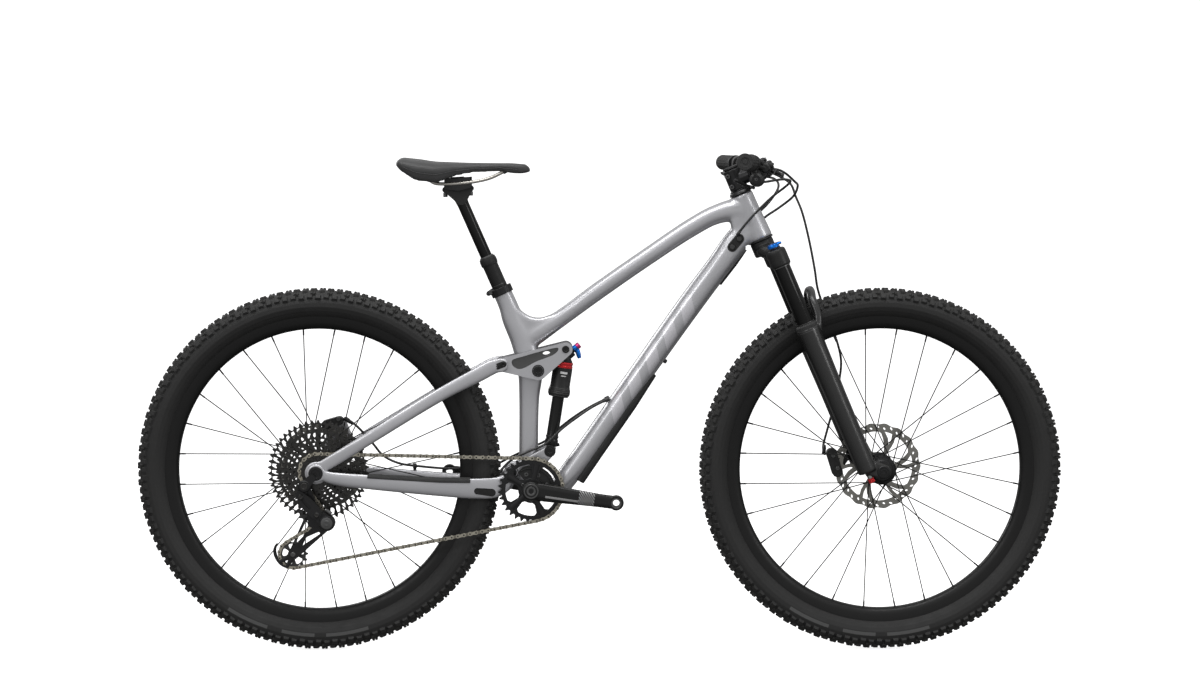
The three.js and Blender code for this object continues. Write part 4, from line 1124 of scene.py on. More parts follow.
def chain_pins():
    """The chain's pins, each with the number of its wheel, or a number below zero on a straight run."""
    circles = [
        (xz(REAR_AXLE), pitch_radius(COGS[COG_IN_USE]), 1), (xz(BB), pitch_radius(RING_TEETH), 1),
        (xz(TENSION), pitch_radius(TENSION_TEETH), 1), (xz(GUIDE), pitch_radius(GUIDE_TEETH), -1),
    ]
    return walk(*chain_path(circles), PITCH)


PINS = chain_pins()


def roller_phase(centre, tag):
    """Angle of a roller near the middle of a sprocket's wrap, so that a valley can meet it."""
    mine = [p for p, t in PINS if t == tag]
    p = mine[len(mine) // 2] - Vector(xz(centre))
    return math.atan2(p.y, p.x)


def link(shape, p, q, outer, mat):
    """Two side plates between pins p and q."""
    d = (q - p).normalized()
    n = Vector((-d.y, d.x))
    mid = (p + q) / 2
    half = (q - p).length / 2
    big, waist = (4.15, 2.9) if outer else (4.0, 3.1)
    pts = []
    for sx in (1, -1):
        for k in range(7):
            a = math.radians(-78 + 156 * k / 6)
            pts.append((sx * (half + big * math.cos(a)), sx * big * math.sin(a)))
        pts.append((0, sx * waist))
    outline = [mid + d * x + n * y for x, y in pts]
    y0, y1 = (1.75, 2.55) if outer else (1.05, 1.70)
    for side in (-1, 1):
        lo, hi = sorted((CHAIN_Y + side * y0, CHAIN_Y + side * y1))
        e = 0.18
        rings = []
        for y, grow in ((lo, -e), (lo + e, 0), (hi - e, 0), (hi, -e)):
            rings.append([
                Vector((mid.x + (v.x - mid.x) * (1 + grow / 7), y, mid.y + (v.y - mid.y) * (1 + grow / 7)))
                for v in outline
            ])
        shape.add(skin(rings), mat)


def chain():
    """Roller chain of separate links, in four stretches."""
    n = len(PINS)
    groups = {"upper": Shape(), "lower": Shape(), "mech": Shape(), "feed": Shape()}
    for k in range(n):
        (p, tag), (q, _) = PINS[k], PINS[(k + 1) % n]
        mid = (p + q) / 2
        if tag in (0, -1, 1):
            key = "upper"
        elif tag == -2:
            key = "lower" if mid.x > -330 else "mech"
        elif tag == -4:
            key = "feed"
        else:
            key = "mech"
        s = groups[key]
        link(s, p, q, k % 2 == 0, 0 if k % 2 == 0 else 2)
        at = Vector((p.x, CHAIN_Y, p.y))
        s.add(lathe([(3.6, -1.1), (3.85, -0.9), (3.85, 0.9), (3.6, 1.1)], at, Y_AXIS, 12), 1)
        s.add(lathe([(1.5, -2.75), (1.8, -2.6), (1.8, 2.6), (1.5, 2.75)], at, Y_AXIS, 10), 1)
    ring_end, cog_end = (BB.x, CHAIN_Y, BB.z), (BB.x - 125, CHAIN_Y, BB.z)
    mats = [CHAIN_STEEL, COATED_STEEL, CHAIN_DARK]
    for key in ("upper", "lower"):
        make(
            f"chain_links_{key}", groups[key], ("frame", "chainstay_assembly", ring_end, cog_end), mats,
            ["chain"] if key == "upper" else (),
        )
    make(
        "chain_links_mech", groups["mech"],
        ("chainstay_assembly", "cage", (-380, CHAIN_Y, 215), (TENSION.x + 20, CHAIN_Y, 205)), mats,
    )
    make(
        "chain_links_feed", groups["feed"],
        ("chainstay_assembly", "cage", (GUIDE.x, CHAIN_Y, 340), (GUIDE.x, CHAIN_Y, 300)), mats,
    )


def cassette():
    """Twelve toothed cogs with windows, the pins between them, the carrier and the lock ring."""
    c = xz(REAR_AXLE)
    s = Shape()
    phase = roller_phase(REAR_AXLE, 0)
    for i, teeth in enumerate(COGS):
        y = CHAIN_Y + (i - COG_IN_USE) * COG_PITCH
        inner = 17.0 if i < SOLID_COGS else max(17.5, pitch_radius(COGS[i - 1]) - 7.5)
        holes = [circle(c, inner, 48)]
        if i >= SOLID_COGS:
            lo, hi = inner + 3.2, pitch_radius(teeth) - 6.0
            mid = (lo + hi) / 2
            count = max(10, round(TAU * mid / 12.5))
            w, skew = 0.36 * TAU / count, 0.35 * TAU / count
            window = [(lo, -w * 0.5), (lo, w * 0.9), (mid, w + skew * 0.5)]
            window += [(hi, w * 0.55 + skew), (hi, -w * 0.55 + skew), (mid, -w * 0.9 + skew * 0.5)]
            for k in range(count):
                a = TAU * (k + 0.5 * (i % 2)) / count
                holes.append(orient([around(c, r, a - t) for r, t in window]))
        outline = sprocket_outline(c, teeth, phase if i == COG_IN_USE else 0.4 * i)
        s.add(outline_prism(outline, y - 0.85, y + 0.85, holes))
        if i:
            count = 5 if i < SOLID_COGS else max(8, teeth // 3)
            for k in range(count):
                x, z = around(c, pitch_radius(COGS[i - 1]) - 6.2, TAU * (k + 0.3 * i) / count)
                s.add(rod((x, y - COG_PITCH, z), (x, y, z), 1.7, 8))
    first_y = CHAIN_Y - COG_IN_USE * COG_PITCH
    last_y = CHAIN_Y + (len(COGS) - 1 - COG_IN_USE) * COG_PITCH
    arm = ((-0.34, 26), (-0.10, 30), (-0.075, 86), (0.075, 86), (0.10, 30))
    spider = [around(c, r, a + t) for a in turns(8) for t, r in arm]
    s.add(outline_prism(spider, last_y - 0.6, last_y + 1.6, [circle(c, 17, 32)]))
    s.add(band(16.0, 18.2, first_y, last_y, REAR_AXLE, Y_AXIS, 48))
    s.add(band(9.9, 16.5, first_y - 0.9, first_y + 2.4, REAR_AXLE, Y_AXIS, 48), 1)
    for a in turns(12):
        at = REAR_AXLE + ray(a, 14.6, first_y - 1.2)
        s.add(rod(at, at + Vector((0, 3, 0)), 1.3, 8), 1)
    make(
        "cassette_cogs", s, "cassette_body", [COATED_STEEL, ALLOY_BLACK], ["cassette"],
        origin=REAR_AXLE, sharp=30,
    )


def sector(c, r0, r1, a0, a1, steps=8):
    """Window between two radii and two angles, with softened corners."""
    d = (a1 - a0) * 0.12
    soft = (r1 - r0) * 0.18
    far = [(r1, a0 + d + (a1 - a0 - 2 * d) * k / steps) for k in range(steps + 1)]
    near = [(r0, a1 - d * 1.4 - (a1 - a0 - 2.8 * d) * k / steps) for k in range(steps + 1)]
    run = far + [(r1 - soft, a1), (r0 + soft, a1)] + near + [(r0 + soft, a0), (r1 - soft, a0)]
    return orient([around(c, r, a) for r, a in run])


def chainring():
    """Narrow ring with five windows, spokes between them, a stiffening rim and its mounting bolts."""
    c = xz(BB)
    windows = [a + 0.3 for a in turns(5)]
    outline = sprocket_outline(c, RING_TEETH, roller_phase(BB, 1), 1.1)
    holes = [circle(c, 17, 40), *(sector(c, 27, 53, a, a + 0.86) for a in windows)]
    s = Shape().add(outline_prism(outline, CHAIN_Y - 1.1, CHAIN_Y + 1.1, holes))
    s.add(outline_prism(
        arc(c, 58.3, 0, TAU * 95 / 96, 95), CHAIN_Y - 2.2, CHAIN_Y + 2.0, [circle(c, 54.4, 64)],
    ))
    for a in windows:
        at, to = (BB + ray(a - 0.2, r, -1.4) for r in (20, 55))
        s.add(tube([at, (at + to) / 2, to], [(1.9, 5.6), (1.7, 4.3), (1.5, 6.0)], 12))
    for a in turns(3):
        s.add(bolt(BB + ray(a + 0.5, 20.5, -2), -Y_AXIS, 3.4, 2.0), 1)
    s.add(band(14.9, 24, -2.4, 2.2, BB, Y_AXIS, 48))
    make(
        "chainring_teeth", s, "crankset", [ALLOY_BLACK, ALLOY_GREY], ["chainring"],
        origin=BB, sharp=30,
    )


def backing_plate_and_shade():
    """Dark backing plate behind the upper half of the chainring, held on the bottom bracket shell; it is partly
    painted shade of the frame seen through the upper windows.
    """
    y0, y1 = CHAIN_Y + 3.4, CHAIN_Y + 4.8
    s = Shape().add(outline_prism(sector(xz(BB), 23.6, 50, math.radians(-6), math.radians(128)), y0, y1))
    s.add(tube([BB + ray(a, 44, 2.6) for a in np.radians(np.linspace(0, 122, 18))], 1.6, 10))
    for degrees in (18, 64, 108):
        s.add(bolt(BB + ray(math.radians(degrees), 33, 3.6), -Y_AXIS, 4.2, 1.0, 0.5), 1)
    make("chain_backing_plate_and_shade", s, "frame", [BLACK_SATIN, ALLOY_GREY], bevel=0.3)


def cranks():
    """Forged arms with their pattern, spindle bolt, pinch bolts and pedal inserts, and the bearing cups."""
    along = ray(math.radians(-7.7))
    below = Vector((along.z, 0, -along.x))
    for node, side, sign in (("crank_right", -1, 1), ("crank_left", 1, -1)):
        moulded(f"{node}_arm", node, "crankset", CRANK, 1.3, 14)
        eye = BB + along * (175 * sign)
        s = Shape()
        s.add(band(7.1, 10.6, 69.8 * side, 84.6 * side, at_y(eye, 0), Y_AXIS, 40))
        face = 76.0 if side < 0 else 72.0
        hub_at = at_y(BB, face * side)
        axis = Vector((0, side, 0))
        s.add(lathe(
            [(15.4, -2), (15.4, 0.2), (14.8, 0.9), (12.6, 0.9), (12.2, 0.2), (12.2, -1.5)], hub_at, axis,
            40, True,
        ))
        s.add(bolt(hub_at - axis * 2.2, axis, 9.6, 2.6, 0.62))
        if side > 0:
            for shift in (-2.4, 4.8):
                s.add(bolt(at_y(BB, 62) + below * 19 + along * (sign * 12 + shift), below, 3.6, 2.2))
        make(f"{node}_fittings", s, "crankset", ALLOY_GREY)
    backing_plate_and_shade()
    s = Shape()
    for side in (-1, 1):
        s.add(band(15.6, 22.4, *sorted((side * 46.3, side * 51.2)), at_y(BB, 0), Y_AXIS, 48))
        for a in turns(16):
            at = at_y(BB, 0) + ray(a, 22.2, side * 46.8)
            s.add(rod(at, at + Vector((0, side * 3.2, 0)), 1.5, 8))
    make("bottom_bracket_cups", s, "frame", ALLOY_BLACK)


def pulley(node, centre, teeth, body, tag):
    """Toothed jockey wheel with five windows and its bush."""
    c = xz(centre)
    outline = sprocket_outline(c, teeth, roller_phase(centre, tag), 0.85)
    windows = [sector(c, 9.5, pitch_radius(teeth) - 6.5, a, a + 0.8, steps=4) for a in turns(5)]
    s = Shape().add(outline_prism(outline, CHAIN_Y - 1.0, CHAIN_Y + 1.0, [circle(c, 3.4, 16), *windows]))
    s.add(band(3.3, 8.0, -2.4, 2.4, centre, Y_AXIS, 32), 1)
    make(f"{node}_teeth", s, body, [PLASTIC, ALLOY_GREY], [node], origin=centre, sharp=30)


def derailleur():
    """Hanger, knuckles, parallelogram plates and springs, and the long cage with its looped tail."""
    hanger = Vector((-601, 0, 350))
    s = Shape()
    s.add(outline_prism(hull([((-586, 366), 8), ((-601, 350), 10.5)], 24), -97.5, -91))
    s.add(lathe([(10.5, -98.5), (12.5, -96.5), (12.5, -88), (10.8, -86), (10.8, -70)], hanger, Y_AXIS, 40))
    s.add(bolt(Vector((-601, -98.2, 350)), -Y_AXIS, 7.6, 2.4, 0.6), 1)
    s.add(outline_prism(hull([((-601, 350), 9), ((-609, 326), 8)], 24), -84, -79))
    s.add(outline_prism(hull([((-609, 326), 7), ((-574, 289), 8.5)], 24), -84.5, -80.5), 0)
    slot = hull([((-605, 320), 2.6), ((-592, 305), 3.2)], 12)
    s.add(
        outline_prism(
            hull([((-611, 331), 8.5), ((-598, 315), 13.5), ((-579, 295), 12.5)], 24), -88.2, -84.9,
            [orient(slot)],
        ),
        0,
    )
    s.add(outline_prism(hull([((-601, 350), 8), ((-610, 330), 7), ((-580, 291), 8)], 24), -73, -69.2))
    for x, z in ((-609, 327), (-577, 290)):
        at = Vector((x, 0, z))
        s.add(lathe([(5.2, -89.6), (6.2, -88.8), (6.2, -69), (5.2, -68)], at, Y_AXIS, 24), 0)
        s.add(bolt(Vector((x, -89.4, z)), -Y_AXIS, 4.6, 1.6, 0.5), 1)
    spring = []
    for k in range(46):
        turn = k * 0.55
        across = (5.6 * math.cos(turn), 3.6 * math.sin(turn), -1.6 * math.cos(turn))
        spring.append(Vector((-602 + k * 0.45, -77, 320 - k * 0.5)) + Vector(across))
    s.add(tube(spring, 0.8, 6), 1)
    make(
        "derailleur_links", s, "chainstay_assembly", [ALLOY_BLACK, COATED_STEEL, ALLOY_GREY],
        ["derailleur_body"], bevel=0.8,
    )
    s = Shape()
    c = at_y(CAGE_PIVOT, 0)
    s.add(lathe(
        [(12, -86.2), (14.8, -85.4), (16.4, -82.5), (16.6, -66), (15.4, -63.2), (12, -62.2)], c, Y_AXIS, 56,
    ))
    s.add(lathe([(9.5, -87.2), (11.8, -86.6), (12.2, -85.8), (11.6, -84)], c, Y_AXIS, 40), 1)
    s.add(bolt(Vector((c.x, -86.8, c.z)), -Y_AXIS, 6.2, 1.8, 0.55), 1)
    s.add(outline_prism(hull([((-575, 291), 9.5), (xz(CAGE_PIVOT), 15)], 32), -83.5, -62.4))
    s.add(rod((-548, -76, 291), (-560, -76, 300), 4.2, 16), 1)
    make("derailleur_clutch", s, "chainstay_assembly", [ALLOY_BLACK, ALLOY_GREY], bevel=0.8)
    cage_shape()
    pulley("guide_pulley", GUIDE, GUIDE_TEETH, "guide_wheel", 3)
    pulley("tension_pulley", TENSION, TENSION_TEETH, "tension_wheel", 2)


def cage_shape():
    """Two cage plates with windows, the looped tail between them and the bolts of the jockey wheels."""
    s = Shape()
    g, t, p = xz(GUIDE), xz(TENSION), xz(CAGE_PIVOT)
    out_win = [orient(hull([((-600, 270), 3.6), ((-617, 231), 4.6)], 12))]
    s.add(outline_prism(hull([(g, 10), (t, 10)], 32), -47.4, -45.9, out_win), 0)
    window = hull([((-576, 249), 2.4), ((-598, 239), 2.8), ((-616, 222), 2.2)], 12)
    s.add(outline_prism(hull([(p, 14), ((-603, 233), 10.5), (t, 11)], 32), -57.4, -55.6, [orient(window)]), 0)
    s.add(outline_prism(hull([(p, 10), (g, 8), ((-590, 268), 7)], 32), -59.6, -57.8), 0)
    guard = [(-13, -27), (-21, -23), (-28.5, -16), (-34, -7), (-37, 2), (-37.5, 10), (-35.5, 17), (-32, 22)]
    tail = spline([Vector((t[0] + x, -51.6, t[1] + z)) for x, z in guard], 3)
    thick = [1.2 + 2.4 * math.sin(math.pi * (0.1 + 0.8 * k / (len(tail) - 1))) for k in range(len(tail))]
    s.add(tube(tail, [(wide, 5.6) for wide in thick], 12, up=(1, 0, 0)), 0)
    for x, z in (guard[0], guard[2]):
        for y in (-56.6, -46.6):
            s.add(
                tube(
                    [Vector((t[0], y, t[1])), Vector((t[0] + x, y, t[1] + z))], [(0.9, 6), (0.9, 3.2)], 12,
                ),
                0,
            )
    s.add(
        lathe(
            [(9, -61.8), (12.0, -61.2), (12.4, -60), (12.4, -56), (11, -55.6)], at_y(CAGE_PIVOT, 0), Y_AXIS,
            48,
        ),
        1,
    )
    for c in (GUIDE, TENSION):
        s.add(
            lathe(
                [(4.4, -59), (5.2, -58.4), (5.2, -57), (3.0, -56.6), (3.0, -46.4), (4.6, -46), (4.6, -45)],
                at_y(c, 0), Y_AXIS, 24,
            ),
            2,
        )
        s.add(bolt(at_y(c, -58.6), -Y_AXIS, 4.4, 1.2, 0.5), 2)
    make(
        "derailleur_cage_plates", s, "cage", [ALLOY_BLACK, ALLOY_BLACK, ALLOY_GREY],
        ["derailleur_cage"], bevel=0.35,
    )


build_wheels()
chain()
cassette()
chainring()
cranks()
derailleur()
# ---------- frame ----------
SEAT_TOP = Vector((-202, 0, 742))
SEAT_AHEAD = Vector((SEAT_UP.z, 0, -SEAT_UP.x))
SHOCK_FOOT = Vector((-103, 0, 414))
SHOCK_AHEAD = Vector((SHOCK_UP.z, 0, -SHOCK_UP.x))
STAY_PIVOT = Vector((-203.5, 0, 592))
HEAD_TOP = 635
CROWN_TOP = 529
SEAL_TOP = 333


def on_steerer(along, ahead=0):
    """Point in the fork's directions, by its height along the steerer."""
    return FORK @ Vector((ahead, 0, along))


def on_seat(along):
    """Point on the seat post's centre line, by its height above the seat tube."""
    return SEAT_TOP + SEAT_UP * along


def on_shock(along, ahead=0):
    """Point in the shock's directions, by its height above the lower eye."""
    return SHOCK_FOOT + SHOCK_UP * along + SHOCK_AHEAD * ahead


def headset():
    """Covers above and below the head tube, and the spacers under the stem."""
    s = Shape()
    s.add(lathe(
        [(17, 0), (23.6, 0), (24.2, 1), (23, 5.5), (21.3, 7.2), (17, 7.2)], on_steerer(HEAD_TOP), STEER_UP,
        64, True,
    ))
    s.add(
        lathe(
            [(19, 1.5), (26.2, 1.5), (26.8, 2.4), (26.8, 4.2), (26.3, 5), (19, 5)], on_steerer(CROWN_TOP),
            STEER_UP, 64, True,
        ),
        1,
    )
    make("headset_covers", s, "frame", [ALLOY_BLACK, BLACK_SATIN])
    s = Shape()
    s.add(band(14.8, 16.6, HEAD_TOP + 1.0, HEAD_TOP + 9.8, on_steerer(0), STEER_UP, 64, 0.4))
    s.add(band(14.8, 20.6, HEAD_TOP + 7.6, 644.8, on_steerer(0), STEER_UP, 64, 0.8))
    make("headset_spacer_stack", s, "steering_assembly", ALLOY_BLACK, ["headset_spacers"])


def frame_shell():
    """Front triangle as one hydroformed skin, with its bores cut afterwards."""
    s = Shape()
    s.add(oval_loft([
        (-150, 0, 640, 20, 17), (-140, 0, 648, 22, 18), (-88, 0, 681, 17.5, 19), (0, 0, 745, 17.5, 21),
        (104, 0, 817, 17.5, 22), (187, 0, 872, 18.5, 22), (238, 0, 899, 19.5, 22), (284, 0, 908, 24, 22),
        (314, 0, 897, 26, 20),
    ]))
    s.add(oval_loft([
        (316, 0, 880, 26, 20), (280, 0, 842, 27, 26), (244, 0, 794, 25, 29), (186, 0, 716, 24.8, 30),
        (61, 0, 539.5, 23.5, 32), (-65, 0, 361.7, 22, 33), (-92, 0, 331, 20, 34), (-126, 0, 324, 14, 34),
    ]))
    seat_top = SEAT_TOP + SEAT_UP * 6
    seat_low = SEAT_TOP - SEAT_UP * 35
    s.add(oval_loft([
        (*seat_top, 18.5, 18.5), (*seat_low, 19.5, 18.5), (-180, 0, 686, 21.5, 19),
        (-159, 0, 640, 24.5, 20), (-144, 0, 580, 25.5, 20), (-146, 0, 520, 20.5, 18),
        (-147.5, 0, 403, 19.5, 17.5), (-147.5, 0, 345, 19.5, 18),
    ]))
    throat = [
        (-192, 732), (-182, 722), (-163, 702), (-142, 689), (-120, 687), (-96, 693), (-96, 664), (-160, 655),
    ]
    s.add(outline_prism([xz(p) for p in spline([(x, 0, z) for x, z in throat], 4, True)], -15.5, 15.5))
    s.add(outline_prism(hull([((279, 886), 11), ((298, 880), 16), ((290, 850), 14)], 32), -20.5, 20.5))
    s.add(
        lathe(
            [
                (0, CROWN_TOP + 4), (26.5, CROWN_TOP + 4), (25.4, 560), (23.4, 598), (22.6, HEAD_TOP),
                (0, HEAD_TOP),
            ],
            ORIGIN, Z_AXIS, 72,
        ),
        0, FORK,
    )
    s.add(across_y(BB, -46, 46, 22, 72))
    s.add(outline_prism(hull([(xz(MAIN_PIVOT), 15), ((-158, 356), 12), ((-150, 345), 14)], 48), -20, 20))
    cuts = Shape()
    cuts.add(lathe([(0, 500), (19.8, 500), (19.8, 660), (0, 660)], ORIGIN, Z_AXIS, 64), 0, FORK)
    cuts.add(
        lathe([(0, 480), (40, 480), (40, CROWN_TOP + 3.9), (0, CROWN_TOP + 3.9)], ORIGIN, Z_AXIS, 64), 0,
        FORK,
    )
    cuts.add(lathe([(0, -150), (16.1, -150), (16.1, 40), (0, 40)], SEAT_TOP, SEAT_UP, 64))
    cuts.add(across_y(BB, -60, 60, 15.2, 64))
    cuts.add(across_y(MAIN_PIVOT, -60, 60, 7.3))
    cuts.add(across_y(ROCKER_PIVOT, -60, 60, 7.3))
    moulded(
        "frame_shell", "front_triangle", "frame", SILVER_BANDS, 1.8, 10, s, cuts=cuts,
        soft=26, grow=0.5,
    )


def frame_details():
    """The frame's skin, and its guards, ports, grommets, collar and pivot bolts."""
    frame_shell()
    moulded("down_tube_guard_skin", "down_tube_guard", "frame", GUARD, 1.3, 12)
    moulded("fork_bumper_pad", "fork_bumper", "frame", GUARD, 1.2, 12)
    headset()
    s = Shape()
    tilt = ray(math.radians(50))
    centre = Vector((277.5, 0, 841.7))
    # The smaller inner ovals, in the near-black recess paint, are painted shade on the port faces.
    for side in (-1, 1):
        for half, size, depth, mat in ((11, 10.2, 28.2, 0), (11, 8.2, 29.0, 1)):
            outline = hull([(xz(centre - tilt * half), size), (xz(centre + tilt * half), size)], 24)
            lo, hi = sorted((side * 20, side * depth))
            s.add(outline_prism(outline, lo, hi), mat)
        for end in (-1, 1):
            s.add(
                rod(
                    at_y(centre + tilt * 11 * end, side * 22), at_y(centre + tilt * 11 * end, side * 31.5),
                    5.2, 24,
                ),
                0,
            )
    make("cable_ports", s, "frame", [PLASTIC, DARK], bevel=0.7)
    s = Shape()
    for side in (-1, 1):
        start, ahead = Vector((14, side * 14, 519)), Vector((-30, side * 2, -15)).normalized()
        s.add(rod(start - ahead * 6, start + ahead * 4.5, 4.6, 24, 1.2))
    knob = Vector((134.6, 0, 597))
    under = Vector((0.816, 0, -0.578))
    s.add(rod(knob - under * 10, knob + under * 3.2, 4.6, 24, 1.4))
    make("hose_exit_grommets", s, "frame", PLASTIC)
    moulded("seat_collar_ring", "seat_collar", "frame", ALLOY_BLACK, 1.0, 8)
    s = Shape()
    clamp = Vector((-224.5, 0, 739.5))
    s.add(rod(at_y(clamp, -11), at_y(clamp, 11), 2.6, 16))
    s.add(rod(at_y(clamp, 7.4), at_y(clamp, 11.5), 4.4, 24, 0.8))
    s.add(bolt(at_y(clamp, -8), -Y_AXIS, 4.4, 4.5))
    make("seat_collar_bolt", s, "frame", ALLOY_GREY)
    s = Shape()
    for point, half in ((ROCKER_PIVOT, 33.3), (MAIN_PIVOT, 35.3)):
        s.add(rod(at_y(point, -half - 0.5), at_y(point, half + 0.5), 7, 32, 0.3))
        s.add(bolt(at_y(point, -half), -Y_AXIS, 10, 3.0, 0.5, 36))
        s.add(bolt(at_y(point, half), Y_AXIS, 10, 3.0, 0.5, 36))
    make(
        "pivot_bolts", s, "frame", ALLOY_BLACK, ["rocker_pivot_axle", "main_pivot_axle"],
        sharp=28,
    )


frame_details()

# ---------- rear suspension ----------


def stay_protector():
    """Rubber strip over the drive-side chainstay, below the chain."""
    stations = [
        (-474, 74.4, 356.5, 14.9, 5.5), (-470, 74, 356, 15, 5.4), (-400, 64.5, 349.5, 16.8, 5.7),
        (-327, 55, 343, 18.5, 6), (-266, 43.2, 339.2, 21, 4.7),
    ]
    sweep = [math.radians(-8 + 196 * i / 12) for i in range(13)]
    rings = []
    for k, (x, y, z, high, half) in enumerate(stations):
        end = 0.85 if k in (0, len(stations) - 1) else 1.0
        z += high * 0.62
        outer = [
            (x, -y + (half + 2.1 * end) * math.cos(a), z + (high * 0.40 + 1.7 * end) * math.sin(a))
            for a in sweep
        ]
        inner = [(x, -y + (half - 0.6) * math.cos(a), z + (high * 0.34 - 0.6) * math.sin(a)) for a in sweep]
        rings.append([Vector(p) for p in outer + inner[::-1]])
    return skin(rings)


def rear_triangle():
    """Chainstays and seatstays as moulded skins, with their guard strip, near-black painted shade in the
    chainstay recesses, pivots, shock eye and axle.
    """
    arm = oval_loft([
        (-571, 84, 373, 10, 3.2), (-550, 80.5, 366, 12, 5), (-529, 77, 362, 13.5, 6),
        (-470, 74, 356, 15, 5.4), (-327, 55, 343, 18.5, 6), (-262, 42.6, 339, 21, 4.6),
        (-216, 42.3, 341, 21, 4.5), (-196, 36, 350, 18, 6), (-181, 28.5, 366, 14, 7),
    ])
    half = [arm, across_y(REAR_AXLE, 80.6, 87, 19), across_y(MAIN_PIVOT, 21, 35, 16.5)]
    half.append(outline_prism(
        hull([(xz(MAIN_PIVOT), 12), ((-118, 390), 6), (xz(SHOCK_FOOT), 11)], 40), 21.5, 29,
    ))
    s = Shape().add(across_y((-118, 0, 390), -25, 25, 5.5))
    cuts = Shape().add(across_y(REAR_AXLE, -100, 100, 6.3)).add(across_y(MAIN_PIVOT, -100, 100, 7.3))
    for part in half:
        s.add(part)
        s.add(mirrored(part))
    for low, high, centre, radius in ((60, 80.3, REAR_AXLE, 23.6), (35, 50, MAIN_PIVOT, 10.6)):
        cuts.add(across_y(centre, low, high, radius))
        cuts.add(across_y(centre, -high, -low, radius))
    moulded(
        "chainstay_shell", "chainstay", "chainstay_assembly", SILVER, 1.3, 8, s, cuts=cuts,
        soft=9, grow=0.3,
    )
    arm = oval_loft([
        (-190, 41, 594, 11, 4.5), (-215, 41.5, 590, 14.5, 5), (-249, 43.5, 573, 15, 6),
        (-324, 48, 534, 13.5, 7), (-460, 75.5, 452, 12.5, 5.5), (-540, 77, 403, 13, 3.2),
        (-575, 77.2, 383, 12, 2.6),
    ])
    bridge = REAR_AXLE + ray(math.pi / 6, 388)
    s = Shape().add(across_y(bridge, -43, 43, 5))
    s.add(outline_prism(
        hull([((-566, 402), 9), ((-520, 420), 9), ((-536, 462), 8), ((-562, 462), 8)], 40), 71, 80,
    ))
    for part in (arm, across_y(REAR_AXLE, 74.5, 80, 23, 64), across_y(STAY_PIVOT, 36, 46, 14)):
        s.add(part)
        s.add(mirrored(part))
    cuts = Shape().add(across_y(REAR_AXLE, -100, 100, 6.3))
    moulded(
        "seatstay_shell", "seatstay", "seatstay_assembly", SILVER, 1.3, 8, s, cuts=cuts,
        soft=9, grow=0.3,
    )
    make("chainstay_protector", stay_protector(), "chainstay_assembly", GUARD, sharp=50)
    # Near-black patches on both chainstays: painted shade in the recess ahead of the main pivot.
    s = Shape()
    for side in (-1, 1):
        lo, hi = sorted((side * 44, side * 47.5))
        s.add(outline_prism(hull([((-252, 334), 6.5), ((-222, 331), 8)], 24), lo, hi))
    make("chainstay_recess_painted_shade", s, "chainstay_assembly", DARK, bevel=0.5)
    s = Shape()
    for side in (-1, 1):
        s.add(band(11.6, 13.4, *sorted((side * 34.6, side * 35.6)), at_y(MAIN_PIVOT, 0), Y_AXIS, 48, 0.2))
    eye = at_y(SHOCK_FOOT, 0)
    for side in (-1, 1):
        s.add(rod(at_y(eye, side * 28.6), at_y(eye, side * 30.2), 11.8, 40, 0.5))
        s.add(bolt(at_y(eye, side * 30), (0, side, 0), 7.2, 2.0, 0.55, 30))
    s.add(rod(at_y(eye, -28.5), at_y(eye, 28.5), 1.8, 24, 0.4))
    s.add(band(2.0, 7.5, -21.6, -19.6, eye, Y_AXIS, 32, 0.3))
    s.add(band(2.0, 7.5, 19.6, 21.6, eye, Y_AXIS, 32, 0.3))
    make("chainstay_hardware", s, "chainstay_assembly", ALLOY_BLACK, sharp=28)
    s = Shape()
    s.add(rod(at_y(REAR_AXLE, -87), at_y(REAR_AXLE, 87), 6, 32, 0.4))
    for side in (-1, 1):
        s.add(lathe(
            [
                (6, 86.9), (14.6, 86.9), (14.6, 88.6), (13.4, 90), (9.2, 90.3), (8.2, 89.2), (4.6, 89.2),
                (4.4, 87.2), (0, 87.2),
            ],
            at_y(REAR_AXLE, 0), (0, side, 0), 48,
        ))
    make("rear_through_axle", s, "chainstay_assembly", ALLOY_BLACK, ["rear_axle"], sharp=28)
    s = Shape()
    for side in (-1, 1):
        face = side * 45.4
        # Near-black plates round the two bolts are painted shade of the bolt recess.
        outline = hull([((-209.5, 590), 6.4), ((-197.5, 594.5), 6.4)], 24)
        s.add(outline_prism(outline, *sorted((face - side * 3, face + side * 1.1))), 1)
        s.add(bolt(Vector((-198.2, face + side * 0.6, 594.2)), (0, side, 0), 5.0, 1.8, 0.55, 30))
        s.add(bolt(Vector((-209, face + side * 0.6, 590.2)), (0, side, 0), 3.4, 1.3, 0.5, 24))
    make("seatstay_pivot_bolts", s, "seatstay_assembly", [ALLOY_BLACK, DARK], sharp=28)


rear_triangle()


